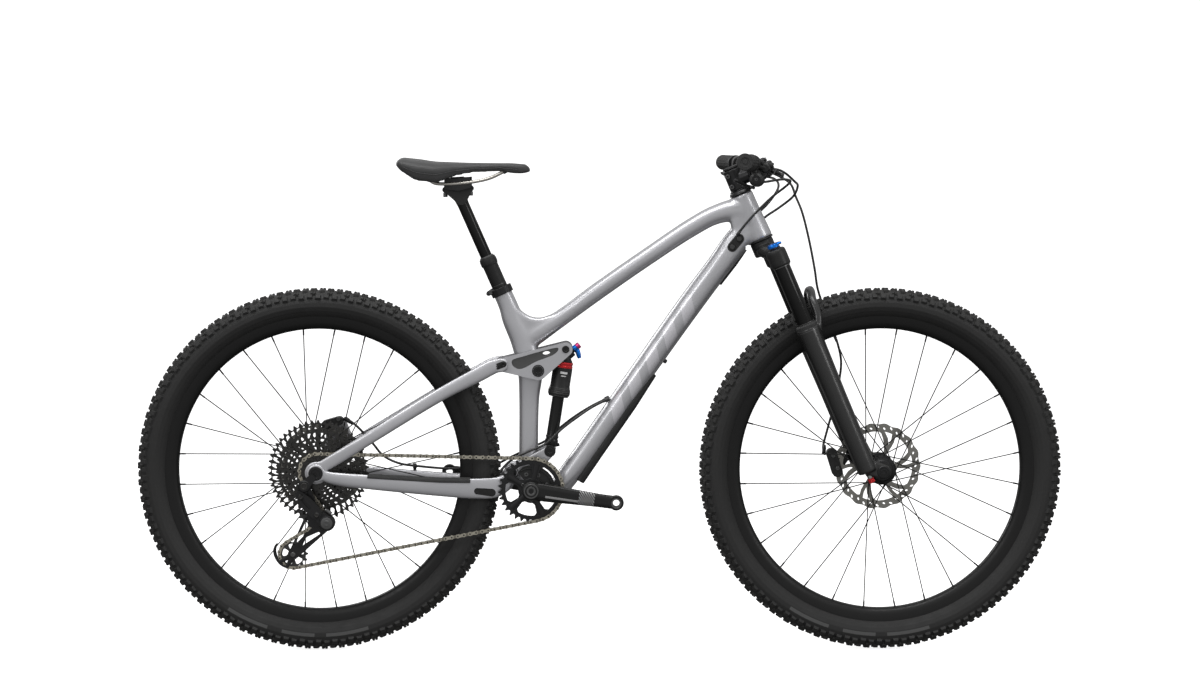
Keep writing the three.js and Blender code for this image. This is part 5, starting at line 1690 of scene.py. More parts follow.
def rocker():
    """Link plates with a sunk pocket whose floor is darker grey as painted shade, a through window and a spacer
    bolt for the shock.
    """
    outer = hull([(xz(STAY_PIVOT), 13), (xz(ROCKER_PIVOT), 19), (xz(SHOCK_TOP), 14)], 48)
    pocket = [
        (-181, 600), (-177, 604), (-160, 609), (-138, 615.5), (-116, 621.5), (-95, 626.5), (-85.8, 627),
        (-86.5, 621.5), (-94, 614), (-107, 608), (-119, 603.5), (-134, 597.5), (-150, 588.5), (-162, 583.8),
        (-171, 584.5), (-179.5, 591.5),
    ]
    pocket = [xz(p) for p in spline([(x, 0, z) for x, z in pocket], 3, True)]
    window = [
        (-110.5 + 8 * math.cos(a) - 1.2 * math.sin(a), 614.6 + 4.8 * math.sin(a) + 2.0 * math.cos(a))
        for a in turns(24)
    ]
    bore = arc(xz(ROCKER_PIVOT), 7.4, 0, TAU, 32)[:-1]
    shock_seat = arc(xz(SHOCK_TOP), 4.3, 0, TAU, 24)[:-1]
    s = Shape()
    for side in (-1, 1):
        s.add(outline_prism(outer, *sorted((side * 24.6, side * 26.5)), [window, bore, shock_seat]))
        s.add(outline_prism(outer, *sorted((side * 26.4, side * 33)), [pocket, bore, shock_seat]))
        # Pocket floor in the darker grey anodised finish: painted shade that stands in for the depth of the
        # pocket.
        s.add(outline_prism(pocket, *sorted((side * 26.0, side * 27.0)), [window]), 1)
    make(
        "rocker_plates", s, "rocker", [SILVER, ALLOY_GREY], ["rocker_link"], bevel=1.1,
        sharp=35,
    )
    s = Shape()
    top = at_y(SHOCK_TOP, 0)
    s.add(rod(at_y(top, -33), at_y(top, 33), 4, 24, 0.3))
    for side in (-1, 1):
        s.add(bolt(at_y(top, side * 33), (0, side, 0), 7.6, 2.2, 0.5, 36))
        s.add(band(4.2, 7.5, *sorted((side * 22.3, side * 24.4)), top, Y_AXIS, 32, 0.3))
        s.add(
            band(10.4, 12.6, *sorted((side * 32.6, side * 33.5)), at_y(ROCKER_PIVOT, 0), Y_AXIS, 48, 0.3), 0,
        )
    make("rocker_bolts", s, "rocker", ALLOY_BLACK, sharp=28)


def shock():
    """Air shock: stepped shaft, can with its bands and head, printed bars and the lockout lever."""
    s = Shape()
    s.add(lathe(
        [(8.6, -19), (10.9, -19), (11.5, -18.4), (11.5, 18.4), (10.9, 19), (8.6, 19)], at_y(SHOCK_FOOT, 0),
        Y_AXIS, 48, True,
    ))
    s.add(lathe(
        [
            (8.4, 8.4), (13.4, 8.9), (13.8, 10), (13.8, 20), (12.6, 23), (12.2, 24), (12.2, 126),
            (11.5, 127), (0, 127),
        ],
        SHOCK_FOOT, SHOCK_UP, 64,
    ))
    s.add(band(12.0, 13.3, 26, 30, SHOCK_FOOT, SHOCK_UP, 64, 0.5), 1)
    s.add(rod(on_shock(12, 12), on_shock(14, 17.5), 3.4, 20), 1)
    make(
        "shock_shaft_body", s, "shock_lower", [STANCHION, ALLOY_BLACK], ["shock_shaft"],
        sharp=30,
    )
    s = Shape()
    profile = [
        (12.6, 112), (19.5, 112), (20.6, 113), (20.8, 115.5), (22.4, 116.5), (22.7, 119), (22.7, 124),
        (22.4, 127.5), (21.4, 129), (20.9, 132), (20.3, 134), (20.3, 171.5), (19.6, 172.4), (12.6, 172.4),
    ]
    s.add(lathe(profile, SHOCK_FOOT, SHOCK_UP, 72, True))
    # Raised rings on the can in grey anodised; their grey also stands in for short highlights on the rings
    # (painted highlight).
    for low in (114.3, 119.4, 122.6, 130.2):
        s.add(
            band(
                20.0, 21.4 if low < 116 or low > 128 else 23.0, low, low + 1.1, SHOCK_FOOT, SHOCK_UP, 72,
                0.25,
            ),
            1,
        )
    s.add(
        lathe(
            [
                (12.6, 172.6), (19.6, 172.6), (20, 173.4), (20, 176), (19.2, 177.2), (19.2, 179.5),
                (20, 180.6), (20, 183), (19, 184.6), (12.6, 184.6),
            ],
            SHOCK_FOOT, SHOCK_UP, 72, True,
        ),
        2,
    )
    s.add(
        lathe(
            [
                (0, 184), (17.6, 184.4), (18, 187), (15.6, 190), (14.2, 193), (14, 204), (12.6, 206.5),
                (0, 207),
            ],
            SHOCK_FOOT, SHOCK_UP, 64,
        ),
        0,
    )
    s.add(lathe(
        [(4.3, -22), (11.4, -22), (12, -21.4), (12, 21.4), (11.4, 22), (4.3, 22)], at_y(SHOCK_TOP, 0),
        Y_AXIS, 48, True,
    ))
    s.add(rod(on_shock(196, 3), on_shock(209, 14), 10.5, 36, 1.5))
    s.add(rod(on_shock(218.6, 21.4), on_shock(224.6, 26.6), 6.6, 28, 1.2), 3)
    s.add(rod(on_shock(210, 13), on_shock(213.5, 16.2), 6.4, 28, 0.8), 0)
    for along, wide, high in ((163, 15, 4.4), (156.4, 10, 2.0)):
        out = (SHOCK_AHEAD * 0.2 - Y_AXIS * 0.98).normalized()
        s.add(curved_mark(along, out, wide, high), 4)
        s.add(curved_mark(along, Vector((out.x, -out.y, out.z)), wide, high), 4)
    out = (SHOCK_AHEAD * 0.85 - Y_AXIS * 0.53).normalized()
    s.add(block(on_shock(158) + out * 20.1, out, SHOCK_UP, SHOCK_UP.cross(out).normalized(), 0.5, 19, 1.8), 1)
    make(
        "shock_air_can", s, "shock_upper", [BLACK_SATIN, ALLOY_GREY, RED, PINK, WHITE],
        ["shock_can"], sharp=30,
    )
    s = Shape()
    s.add(rod(on_shock(212.6, 16.2), on_shock(219.2, 22.0), 6.8, 36, 1.0))
    hub = on_shock(216, 19)
    s.add(tube(
        spline([hub, hub + Vector((4.5, 0, -6)), Vector((-42.2, 0, 603.5))], 4),
        [
            (3.6, 5.4), (3.8, 5.4), (4.0, 5.4), (4.2, 5.4), (4.4, 5.4), (4.4, 5.2), (4.2, 5.0), (3.8, 4.6),
            (2.6, 3.4),
        ],
        16,
    ))
    make("shock_lockout_lever", s, "shock_switch", BLUE, ["shock_lever"], sharp=35)


def curved_mark(along, out, wide, high):
    """Plain printed bar that follows the round of the air can."""
    side = SHOCK_UP.cross(out).normalized()
    reach = wide / 2 / 20.3
    rings = []
    for k in range(9):
        a = -reach + 2 * reach * k / 8
        way = out * math.cos(a) + side * math.sin(a)
        centre = on_shock(along)
        rings.append([
            centre + way * r + SHOCK_UP * h
            for r, h in ((20.0, -high / 2), (20.6, -high / 2), (20.6, high / 2), (20.0, high / 2))
        ])
    return skin(rings)


def block(at, out, up, side, deep, high, wide):
    """Thin raised bar, deep along out, high along up and wide along side."""
    at = Vector(at)
    rings = []
    for d in (-0.6, deep):
        rings.append([
            at + out * d + up * (u * high / 2) + side * (w * wide / 2)
            for u, w in ((-1, -1), (1, -1), (1, 1), (-1, 1))
        ])
    if (rings[0][1] - rings[0][0]).cross(rings[0][2] - rings[0][1]).dot(out) < 0:
        rings = [list(reversed(r)) for r in rings]
    return skin(rings)


def calliper(name, body, node, matrix, bolts, hose_end):
    """Two-part brake calliper from the CAD block, with bolts and a hose fitting."""
    moulded(f"{name}_block", node, body, BLACK_SATIN, 0.9, 6)
    s = Shape()
    for a, b in bolts:
        a, b = matrix @ Vector(a), matrix @ Vector(b)
        s.add(rod(a, b, 2.4, 16))
        s.add(bolt(a, a - b, 4.3, 3.4, 0.5, 24), 0)
    end = Vector(hose_end[0])
    way = (Vector(hose_end[1]) - end).normalized()
    s.add(rod(end - way * 3, end + way * 14, 4.1, 24, 0.8), 1)
    s.add(rod(end + way * 13, end + way * 20, 3.3, 20, 0.6), 1)
    make(f"{name}_fittings", s, body, [ALLOY_GREY, ALLOY_BLACK], sharp=28)


rocker()
shock()
calliper(
    "rear_brake", "seatstay_assembly", "rear_calliper", Matrix.Identity(4),
    [
        ((-571, 42.6, 452), (-571, 50, 452)), ((-543, 42.6, 474), (-543, 50, 474)),
        ((-557, 42.8, 462), (-557, 50, 462)),
    ],
    ((-531, 60, 473), (-506, 62, 457)),
)
calliper(
    "front_brake", "fork_lower_assembly", "front_calliper", FORK,
    [((-35, 31, 30), (-35, 36, 30)), ((-33, 31, 58), (-33, 36, 58)), ((-22, 64.2, 36), (-22, 60, 36))],
    ((468, 60, 402), (472, 80, 418)),
)

# ---------- fork ----------
LEG_AHEAD, LEG_OUT = 15, 65
AXLE_AHEAD = 44


def on_leg(side, along=0):
    """Point on the centre line of a fork leg, in the fork's own directions."""
    return Vector((LEG_AHEAD, side * LEG_OUT, along))


def fork():
    """Crown, stanchions, steerer, lower casting with seals, axle and foot bolts, and the damper knob."""
    s = Shape(FORK)
    for side in (-1, 1):
        profile = [
            (15, 469), (19.6, 469), (20.6, 470.2), (20.9, 474), (20.9, 498), (20.2, 503), (18, 505.5),
            (10, 506.6), (0, 506.6),
        ]
        s.add(lathe(profile, on_leg(side), Z_AXIS, 48))
    stations = [
        (-66, 15, 490, 14, 16), (-52, 13, 493, 14, 15.5), (-38, 6, 499, 13.5, 15.5), (-22, 2, 508, 14, 20),
        (0, 1, 511, 14.5, 22), (22, 2, 508, 14, 20), (38, 6, 499, 13.5, 15.5), (52, 13, 493, 14, 15.5),
        (66, 15, 490, 14, 16),
    ]
    s.add(tube(
        spline([(x, y, z) for y, x, z, _, _ in stations], 1),
        [(high, ahead) for _, _, _, high, ahead in stations], 28, Z_AXIS,
    ))
    s.add(lathe([(14, 500), (23, 500), (24, 504), (24, 529), (23.4, 531), (14, 531)], ORIGIN, Z_AXIS, 48))
    moulded(
        "fork_crown", "crown_steerer", "steering_assembly", BLACK_SATIN, 1.2, 8, s, soft=12,
        grow=0.2,
    )
    s = Shape(FORK)
    for side in (-1, 1):
        s.add(lathe([(0, 165), (16, 165), (17, 166.5), (17, 471), (0, 471)], on_leg(side), Z_AXIS, 64))
    make("fork_stanchions", s, "steering_assembly", STANCHION, sharp=35)
    s = Shape(FORK)
    s.add(lathe(
        [(12.6, 528), (19, 530), (19, 543), (14.3, 546), (14.3, 686), (12.6, 686)], ORIGIN, Z_AXIS, 48, True,
    ))
    for side in (-1, 1):
        s.add(
            lathe(
                [(17.2, 467.6), (18.6, 467.6), (18.6, 469.2), (17.2, 469.2)], on_leg(side), Z_AXIS, 48, True,
            ),
            1,
        )
    s.add(rod(on_leg(1, 509), on_leg(1, 514), 9.6, 36, 1.2))
    s.add(rod(on_leg(1, 513), on_leg(1, 516.5), 5.6, 6, 0.6), 1)
    make("steerer_tube", s, "steering_assembly", [ALLOY_BLACK, ALLOY_GREY], sharp=30)
    s = Shape(FORK)
    arch = [
        (61, 24, 306, 14, 10), (57, 44, 345, 11, 9), (44, 47, 380, 10, 9), (20, 52, 394, 9, 9),
        (-20, 52, 394, 9, 9), (-44, 47, 380, 10, 9), (-57, 44, 345, 11, 9), (-61, 24, 306, 14, 10),
    ]
    s.add(oval_loft(
        [(ahead, y, z, high, deep) for y, ahead, z, high, deep in arch], 40, 5, 2.6, Vector((1, 0, 0)),
    ))
    cuts = Shape(FORK).add(across_y((AXLE_AHEAD, 0, 0), -120, 120, 7.8))
    for side in (-1, 1):
        leg = [
            (0, 12), (19, 12), (20, 14), (20.6, 40), (21, 180), (22.6, 290), (23.5, 322), (23.5, SEAL_TOP),
            (0, SEAL_TOP),
        ]
        s.add(lathe(leg, on_leg(side), Z_AXIS, 64))
        s.add(outline_prism(
            hull([((17, 24), 16), ((AXLE_AHEAD, 0), 15)], 48), side * LEG_OUT - 9, side * LEG_OUT + 9,
        ))
        cuts.add(lathe([(0, 40), (17.3, 40), (17.3, 400), (0, 400)], on_leg(side), Z_AXIS, 64))
    moulded(
        "fork_lower_casting", "fork_lowers", "fork_lower_assembly", FORK_BLACK, 1.4, 8, s,
        cuts=cuts, soft=12, grow=0.25,
    )
    s = Shape(FORK)
    for side in (-1, 1):
        axis = on_leg(side)
        s.add(lathe(
            [
                (17.3, 330), (22.6, 330), (23.0, 332), (22.7, 338.5), (20.5, 341), (18.2, 342.6),
                (17.3, 342.6),
            ],
            axis, Z_AXIS, 64, True,
        ))
        s.add(lathe([(17.3, 343.2), (19.4, 343.2), (19.4, 344.2), (17.3, 344.2)], axis, Z_AXIS, 64, True), 1)
        s.add(lathe([(23.3, 326), (24.2, 326), (24.2, 327.2), (23.3, 327.2)], axis, Z_AXIS, 64, True), 1)
    make("fork_dust_seals", s, "fork_lower_assembly", [GUARD, ALLOY_GREY], sharp=30)
    s = Shape(FORK)
    axle = Vector((AXLE_AHEAD, 0, 0))
    s.add(rod(axle + Y_AXIS * -74, axle + Y_AXIS * 74, 7.5, 32, 0.4))
    for side in (-1, 1):
        rings = [
            (7.5, 74.1), (13.4, 74.1), (13.6, 75.2), (12.4, 76.4), (10.6, 76.8), (10.2, 75.9), (8.2, 75.9),
            (7.8, 77), (5.2, 77.2), (4.6, 75.4), (0, 75.2),
        ]
        s.add(lathe(rings, axle, (0, side, 0), 48))
    s.add(rod(on_leg(-1, 13), on_leg(-1, 5), 7.2, 32, 0.8))
    s.add(rod(on_leg(-1, 6), on_leg(-1, -2), 6.0, 6, 0.6), 2)
    s.add(rod(on_leg(-1, -1), on_leg(-1, -12), 5.4, 28, 1.2), 1)
    for a in turns(10):
        x, y = around(on_leg(-1), 5.5, a)
        s.add(rod((x, y, -2), (x, y, -11), 0.8, 8, 0.3), 1)
    s.add(rod(on_leg(1, 13), on_leg(1, 4), 7.2, 32, 0.8))
    s.add(rod(on_leg(1, 5), on_leg(1, -1), 4.4, 6, 0.6), 2)
    make(
        "front_through_axle", s, "fork_lower_assembly", [ALLOY_BLACK, RED, SATIN_METAL],
        ["front_axle"], sharp=30,
    )
    s = Shape(FORK)
    s.add(lathe(
        [(0, 509.4), (11.4, 509.4), (12.2, 510.4), (12.2, 514.4), (11.0, 516.8), (8.0, 518.2), (0, 518.8)],
        on_leg(-1), Z_AXIS, 48,
    ))
    s.add(tube(
        [(12, -65, 514.8), (20, -65, 515.4), (28, -65, 515.0), (33, -65, 513.8)],
        [(3.8, 8.4), (3.6, 7.6), (3.2, 6.6), (2.4, 4.8)], 16, Z_AXIS,
    ))
    make("fork_damper_knob", s, "compression_dial", BLUE, ["fork_dial"], sharp=35)


fork()

# ---------- dropper post and saddle ----------
PUFF_FRAMES = 12
PUFF_HEIGHT = 2.2
RAIL_POINTS = [(-358, 982), (-341, 965), (-318, 962), (-262, 966), (-226, 974), (-196, 988)]


def dropper():
    """Seal head and outer tube, inner post, post head with its cradle and bolts, clamp plates and rails."""
    s = Shape()
    s.add(lathe(
        [
            (12.4, -140), (15.8, -140), (15.8, 57), (16.2, 58), (17.2, 60), (17.6, 66), (17.4, 72),
            (16.6, 75.4), (15.2, 76), (12.4, 76),
        ],
        SEAT_TOP, SEAT_UP, 64, True,
    ))
    s.add(band(15.6, 16.1, 14, 15, SEAT_TOP, SEAT_UP, 64, 0.1), 1)
    s.add(lathe([(12.3, 75.8), (14.6, 75.8), (14.2, 78.4), (12.3, 79)], SEAT_TOP, SEAT_UP, 64, True), 1)
    for a in turns(14):
        out = SEAT_AHEAD * math.cos(a) + Y_AXIS * math.sin(a)
        s.add(block(on_seat(66) + out * 17.3, out, SEAT_UP, SEAT_UP.cross(out).normalized(), 0.5, 9, 3))
    make(
        "dropper_outer", s, "frame", [BLACK_SATIN, ALLOY_GREY], ["dropper_outer_tube"],
        sharp=32,
    )
    s = Shape()
    s.add(lathe([(0, -15), (11.4, -15), (12, -14), (12, 214), (0, 216)], SEAT_TOP, SEAT_UP, 64))
    make("dropper_inner_post", s, "saddle_and_post", STANCHION, ["dropper_post"], sharp=40)
    s = Shape()
    top = on_seat(214)
    s.add(tube(
        [on_seat(196), on_seat(206), top, on_seat(222)], [(12.3, 12.3), (12.6, 13), (14, 15), (14, 17)], 32,
        (0, 1, 0),
    ))
    s.add(outline_prism(hull([((-316, 950), 5), ((-266, 953), 5), ((-284, 930), 11)], 24), -15, 15))
    s.add(outline_prism(hull([((-314, 955.6), 5), ((-268, 958.4), 5), ((-290, 953), 5)], 20), -24, 24))
    for x, z in ((-317, 950), (-265, 953)):
        s.add(rod((x, -10, z), (x, 10, z), 6.2, 28, 0.8))
        s.add(rod((x, 0, z - 11), (x, 0, z + 24), 2.6, 16))
        s.add(rod((x, 0, z - 15), (x, 0, z - 6), 4.6, 24, 0.7), 1)
    make(
        "seat_post_head", s, "saddle_and_post", [BLACK_SATIN, ALLOY_GREY], bevel=1.0,
        sharp=38,
    )
    s = Shape()
    for side in (-1, 1):
        s.add(outline_prism(
            hull([((-314, 969.5), 4.5), ((-270, 972), 4.5)], 20), *sorted((side * 15, side * 25)),
        ))
    s.add(outline_prism(hull([((-303, 972), 4), ((-281, 973.4), 4)], 20), -16, 16))
    s.add(rod((-298, 0, 957), (-298, 0, 971), 3, 16))
    make(
        "saddle_clamp_plates", s, "saddle_and_post", BLACK_SATIN, ["saddle_clamp"],
        bevel=1.0, sharp=38,
    )
    s = Shape()
    for side in (-1, 1):
        points = [(x, side * (22 - max(0, x + 262) * 0.16), z) for x, z in RAIL_POINTS]
        s.add(tube(spline(points, 7), 3.5, 20))
        s.add(
            rod(
                (points[0][0] + 3, points[0][1], points[0][2] - 3),
                (points[0][0] - 6, points[0][1], points[0][2] + 5), 5.2, 20, 1,
            ),
            1,
        )
        s.add(
            rod(
                (points[-1][0] - 3, points[-1][1], points[-1][2] - 2),
                (points[-1][0] + 6, points[-1][1], points[-1][2] + 3), 5, 20, 1,
            ),
            1,
        )
    s.add(rod((-357, -22, 981), (-357, 22, 981), 3.4, 16))
    s.add(rod((-197, -11.6, 987), (-197, 11.6, 987), 3.4, 16))
    make("saddle_rail_pair", s, "saddle_and_post", [RAIL_STEEL, PLASTIC], ["saddle_rails"], sharp=40)


SADDLE_STATIONS = [
    (-416, 1008, 8, 55), (-405, 1015, 26, 64), (-375, 1011, 41, 69), (-335, 1006, 41, 61),
    (-300, 1005.5, 28, 43), (-268, 1005, 21, 30), (-235, 1005, 18.5, 23), (-203, 1005, 16.5, 20),
    (-180, 1005, 21, 19), (-160, 1003.5, 20, 17), (-150, 1000, 15, 13), (-143.5, 994, 5, 6),
]
SADDLE_SECTION = [
    (0, -0.06), (0.28, -0.045), (0.5, 0.0), (0.7, 0.05), (0.85, 0.13), (0.95, 0.25), (1, 0.42), (0.99, 0.7),
    (0.95, 0.95), (0.9, 1.03), (0.84, 0.98), (0.78, 0.7), (0.7, 0.48), (0.4, 0.36), (0, 0.32),
]


def smooth_share(value, low, high):
    """0 up to low, 1 from high on, and a smooth rise between them."""
    t = min(1.0, max(0.0, (value - low) / (high - low)))
    return t * t * (3 - 2 * t)


def saddle_size(x):
    """Height of the top, depth and half width of the saddle at a place along it."""
    xs = [s[0] for s in SADDLE_STATIONS]
    return [np.interp(x, xs, [s[k] for s in SADDLE_STATIONS]) for k in (1, 2, 3)]


def saddle():
    """Padded cover with a relief channel, puffed by a short cloth simulation, its seam and the base pan."""
    tail, nose = SADDLE_STATIONS[0][0], SADDLE_STATIONS[-1][0]
    count = 44
    rings = []
    for i in range(count + 1):
        t = i / count
        x = tail + (nose - tail) * (0.5 - 0.5 * math.cos(math.pi * t))
        top, drop, half = saddle_size(x)
        end = min(1.0, math.sqrt(max(0.0, min(t, 1 - t)) * 9) + 0.25)
        ring = []
        solid = 1 - smooth_share(half, 20, 34)
        for w, d in SADDLE_SECTION + [(-w, d) for w, d in SADDLE_SECTION[-2:0:-1]]:
            if d > 0.3 and abs(w) <= 0.9:
                d = d + (1.0 - d) * solid
            channel = 2.2 * math.exp(-((w * half / 7.0) ** 2)) * (0.3 < t < 0.85) if d < 0.2 else 0
            ring.append(Vector((x, w * half * end, top - d * drop - channel - (1 - end) * 3)))
        rings.append(ring)
    shell = Shape().add(skin(rings))
    obj = new_object("saddle_cover", shell.metres(), shell.faces)
    whole = remesh(obj, 3.0)
    relax(whole, 10)
    pins = obj.vertex_groups.new(name="held")
    for v in whole.vertices:
        top, drop, _ = saddle_size(v.co.x / MM)
        pins.add([v.index], 1.0 if v.co.z / MM < top - 0.62 * drop else 0.12, "REPLACE")
    puff(obj)
    subdivide = obj.modifiers.new("surface", "SUBSURF")
    subdivide.levels = subdivide.render_levels = 1
    bake(obj)
    dress(obj, "saddle_and_post", LEATHER, ["saddle"], sharp=60)
    seam = Shape()
    for side in (-1, 1):
        line = []
        for x in np.linspace(-398, -168, 26):
            top, drop, half = saddle_size(x)
            hit, place, normal, _ = obj.ray_cast(
                Vector((x, side * (half + 40), top - drop * 0.62)) * MM, Vector((0, -side, 0)),
            )
            if hit:
                line.append(place / MM + normal * 0.1)
        if len(line) > 5:
            seam.add(tube(line, 0.9, 8))
            for a, b in zip(line, line[1:]):
                for share in (0.2, 0.7):
                    p = a.lerp(b, share) + Vector((0, side * 0.8, 2.4))
                    seam.add(rod(p, p + (b - a).normalized() * 2.4, 0.45, 6, 0.1), 1)
    make("saddle_seam", seam, "saddle_and_post", [LEATHER, ALLOY_BLACK])
    rings = []
    for i in range(20):
        x = -400 + i * 12.2
        top, drop, half = saddle_size(x)
        inner = max(5.0, half * 0.68)
        z = top - drop * 0.42
        section = ((-1, 0), (-0.5, 0.6), (0, 0.8), (0.5, 0.6), (1, 0), (1, -2.6), (0, -2.2), (-1, -2.6))
        rings.append([Vector((x, w * inner, z + dz - 2 * w * w)) for w, dz in section])
    make("saddle_base_pan", skin(rings), "saddle_and_post", PLASTIC, sharp=50)


def puff(obj):
    """Blows the padding up a little with Blender's cloth solver and keeps the result."""
    cloth = obj.modifiers.new("padding", "CLOTH")
    settings = cloth.settings
    settings.quality = 4
    settings.mass = 0.3
    settings.use_pressure = True
    settings.uniform_pressure_force = 3.0
    settings.tension_stiffness = settings.compression_stiffness = 25
    settings.shear_stiffness = 12
    settings.bending_stiffness = 6
    settings.vertex_group_mass = "held"
    settings.effector_weights.gravity = 0
    scene = bpy.context.scene
    scene.frame_start, scene.frame_end = 1, PUFF_FRAMES
    cloth.point_cache.frame_start, cloth.point_cache.frame_end = 1, PUFF_FRAMES
    for number in range(1, PUFF_FRAMES + 1):
        scene.frame_set(number)
    result = bpy.data.meshes.new_from_object(obj.evaluated_get(bpy.context.evaluated_depsgraph_get()))
    moved = np.array([(a.co - b.co).length for a, b in zip(result.vertices, obj.data.vertices)])
    scene.frame_set(1)
    obj.modifiers.clear()
    share = min(1.0, PUFF_HEIGHT * MM / max(float(np.percentile(moved, 98)), 1e-6))
    for before, after in zip(obj.data.vertices, result.vertices):
        before.co = before.co.lerp(after.co, share)
    relax(obj.data, 3)


dropper()
saddle()

# ---------- cockpit ----------
BAR_CLAMP = on_steerer(665, 50)
BAR_HALF = 375
BAR_R = 11.1
LEVER_DROP = math.radians(-22)
LEVER_AHEAD = ray(LEVER_DROP)
LEVER_DOWN = Vector((math.sin(LEVER_DROP), 0, -math.cos(LEVER_DROP)))


def bar_point(y):
    """Centre of the handlebar, which sweeps back and rises, at a distance across."""
    out = abs(y)
    sweep = max(0.0, out - 50) / (BAR_HALF - 50)
    return Vector((BAR_CLAMP.x - 50 * sweep, y, BAR_CLAMP.z + 13 * smooth_share(out, 45, 120) + 4 * sweep))


def bar_radius(y):
    """Radius of the handlebar, which swells at the clamp."""
    return BAR_R + (17.5 - BAR_R) * (1 - smooth_share(abs(y), 34, 110))


def from_bar(y, ahead, below=0):
    """Point beside the handlebar in the tilted directions of the levers."""
    return bar_point(y) + LEVER_AHEAD * ahead + LEVER_DOWN * below


def handlebar():
    """Swept bar, stem body and the stem's bolts and cap."""
    s = Shape()
    ys = [
        -374.5, -373.5, -360, -300, -240, -180, -150, -130, -120, -110, -100, -90, -80, -70, -60, -50, -40,
        -34, 0,
    ]
    ys = ys + [-y for y in ys[-2::-1]]
    s.add(tube([bar_point(y) for y in ys], [bar_radius(y) - (0.8 if abs(y) > 374 else 0) for y in ys], 40))
    make("handlebar_tube", s, "steering_assembly", BLACK_SATIN, ["handlebar"], sharp=40)
    moulded("stem_body", "stem", "steering_assembly", ALLOY_BLACK, 1.1, 14)
    s = Shape(FORK)
    for z in (655, 678):
        s.add(rod((-15, -20, z), (-15, 20, z), 3.0, 16))
        for side in (-1, 1):
            s.add(bolt((-13, side * 17.4, z), (0, side, 0), 4.4, 3.6, 0.5, 24), 1)
    for y in (-19, 19):
        for z in (-15.5, 15.5):
            s.add(rod((64, y, 665 + z), (71.6, y, 665 + z), 5.0, 24, 1))
            s.add(bolt((71.4, y, 665 + z), (1, 0, 0), 3.8, 2.6, 0.5, 24), 1)
    s.add(lathe(
        [
            (0, 690), (16.6, 690), (17, 691), (16.4, 693.6), (13, 694.6), (6, 694.8), (5.6, 693.4),
            (0, 693.4),
        ],
        ORIGIN, Z_AXIS, 48,
    ))
    make("stem_bolts", s, "steering_assembly", [ALLOY_BLACK, ALLOY_GREY], sharp=28)


def grips():
    """Ribbed sleeves with rounded ends, and their lock rings."""
    for name, side in (("right", -1), ("left", 1)):
        axis = (bar_point(side * 380) - bar_point(side * 246)).normalized()
        start = bar_point(side * 246)
        length = (bar_point(side * 380) - start).length
        profile = [(11.5, 10.5), (15.0, 10.5), (15.2, 12)]
        h = 14.0
        while h < length - 9:
            profile += [(15.9, h), (16.0, h + 1.6), (15.1, h + 2.2), (15.1, h + 3.4)]
            h += 4.0
        profile += [
            (15.9, length - 7), (16.6, length - 5.5), (16.6, length - 1.5), (15.4, length),
            (9, length + 0.3), (8.4, length - 0.9), (4.5, length - 1.2), (4, length - 0.3),
            (0, length - 0.2),
        ]
        s = Shape().add(lathe(profile, start, axis, 72))
        u = Z_AXIS.cross(axis).normalized()
        w = axis.cross(u)
        for a in turns(18):
            if abs(math.sin(a * 1.5)) <= 0.5:
                out = (u * math.cos(a) + w * math.sin(a)) * 15.6
                s.add(rod(start + axis * 16 + out, start + axis * (length - 10) + out, 0.9, 8, 0.3))
        make(f"grip_{name}_sleeve", s, "steering_assembly", GRIP, [f"grip_{name}"], sharp=35)
        s = Shape()
        s.add(lathe(
            [(11.4, 0.2), (16.2, 0.2), (17, 1), (17, 8.8), (16.2, 9.8), (11.4, 9.8)], start, axis, 48, True,
        ))
        down = start + axis * 5 + LEVER_DOWN * 15
        s.add(rod(down - Vector((3, 0, 0)), down + Vector((9, 0, 0)), 3.6, 20, 0.6))
        s.add(bolt(down + Vector((8.6, 0, 0)), (1, 0, 0), 3.2, 1.6, 0.55, 24), 1)
        make(
            f"grip_{name}_lock_ring", s, "steering_assembly", [ALLOY_BLACK, ALLOY_GREY],
            sharp=30,
        )


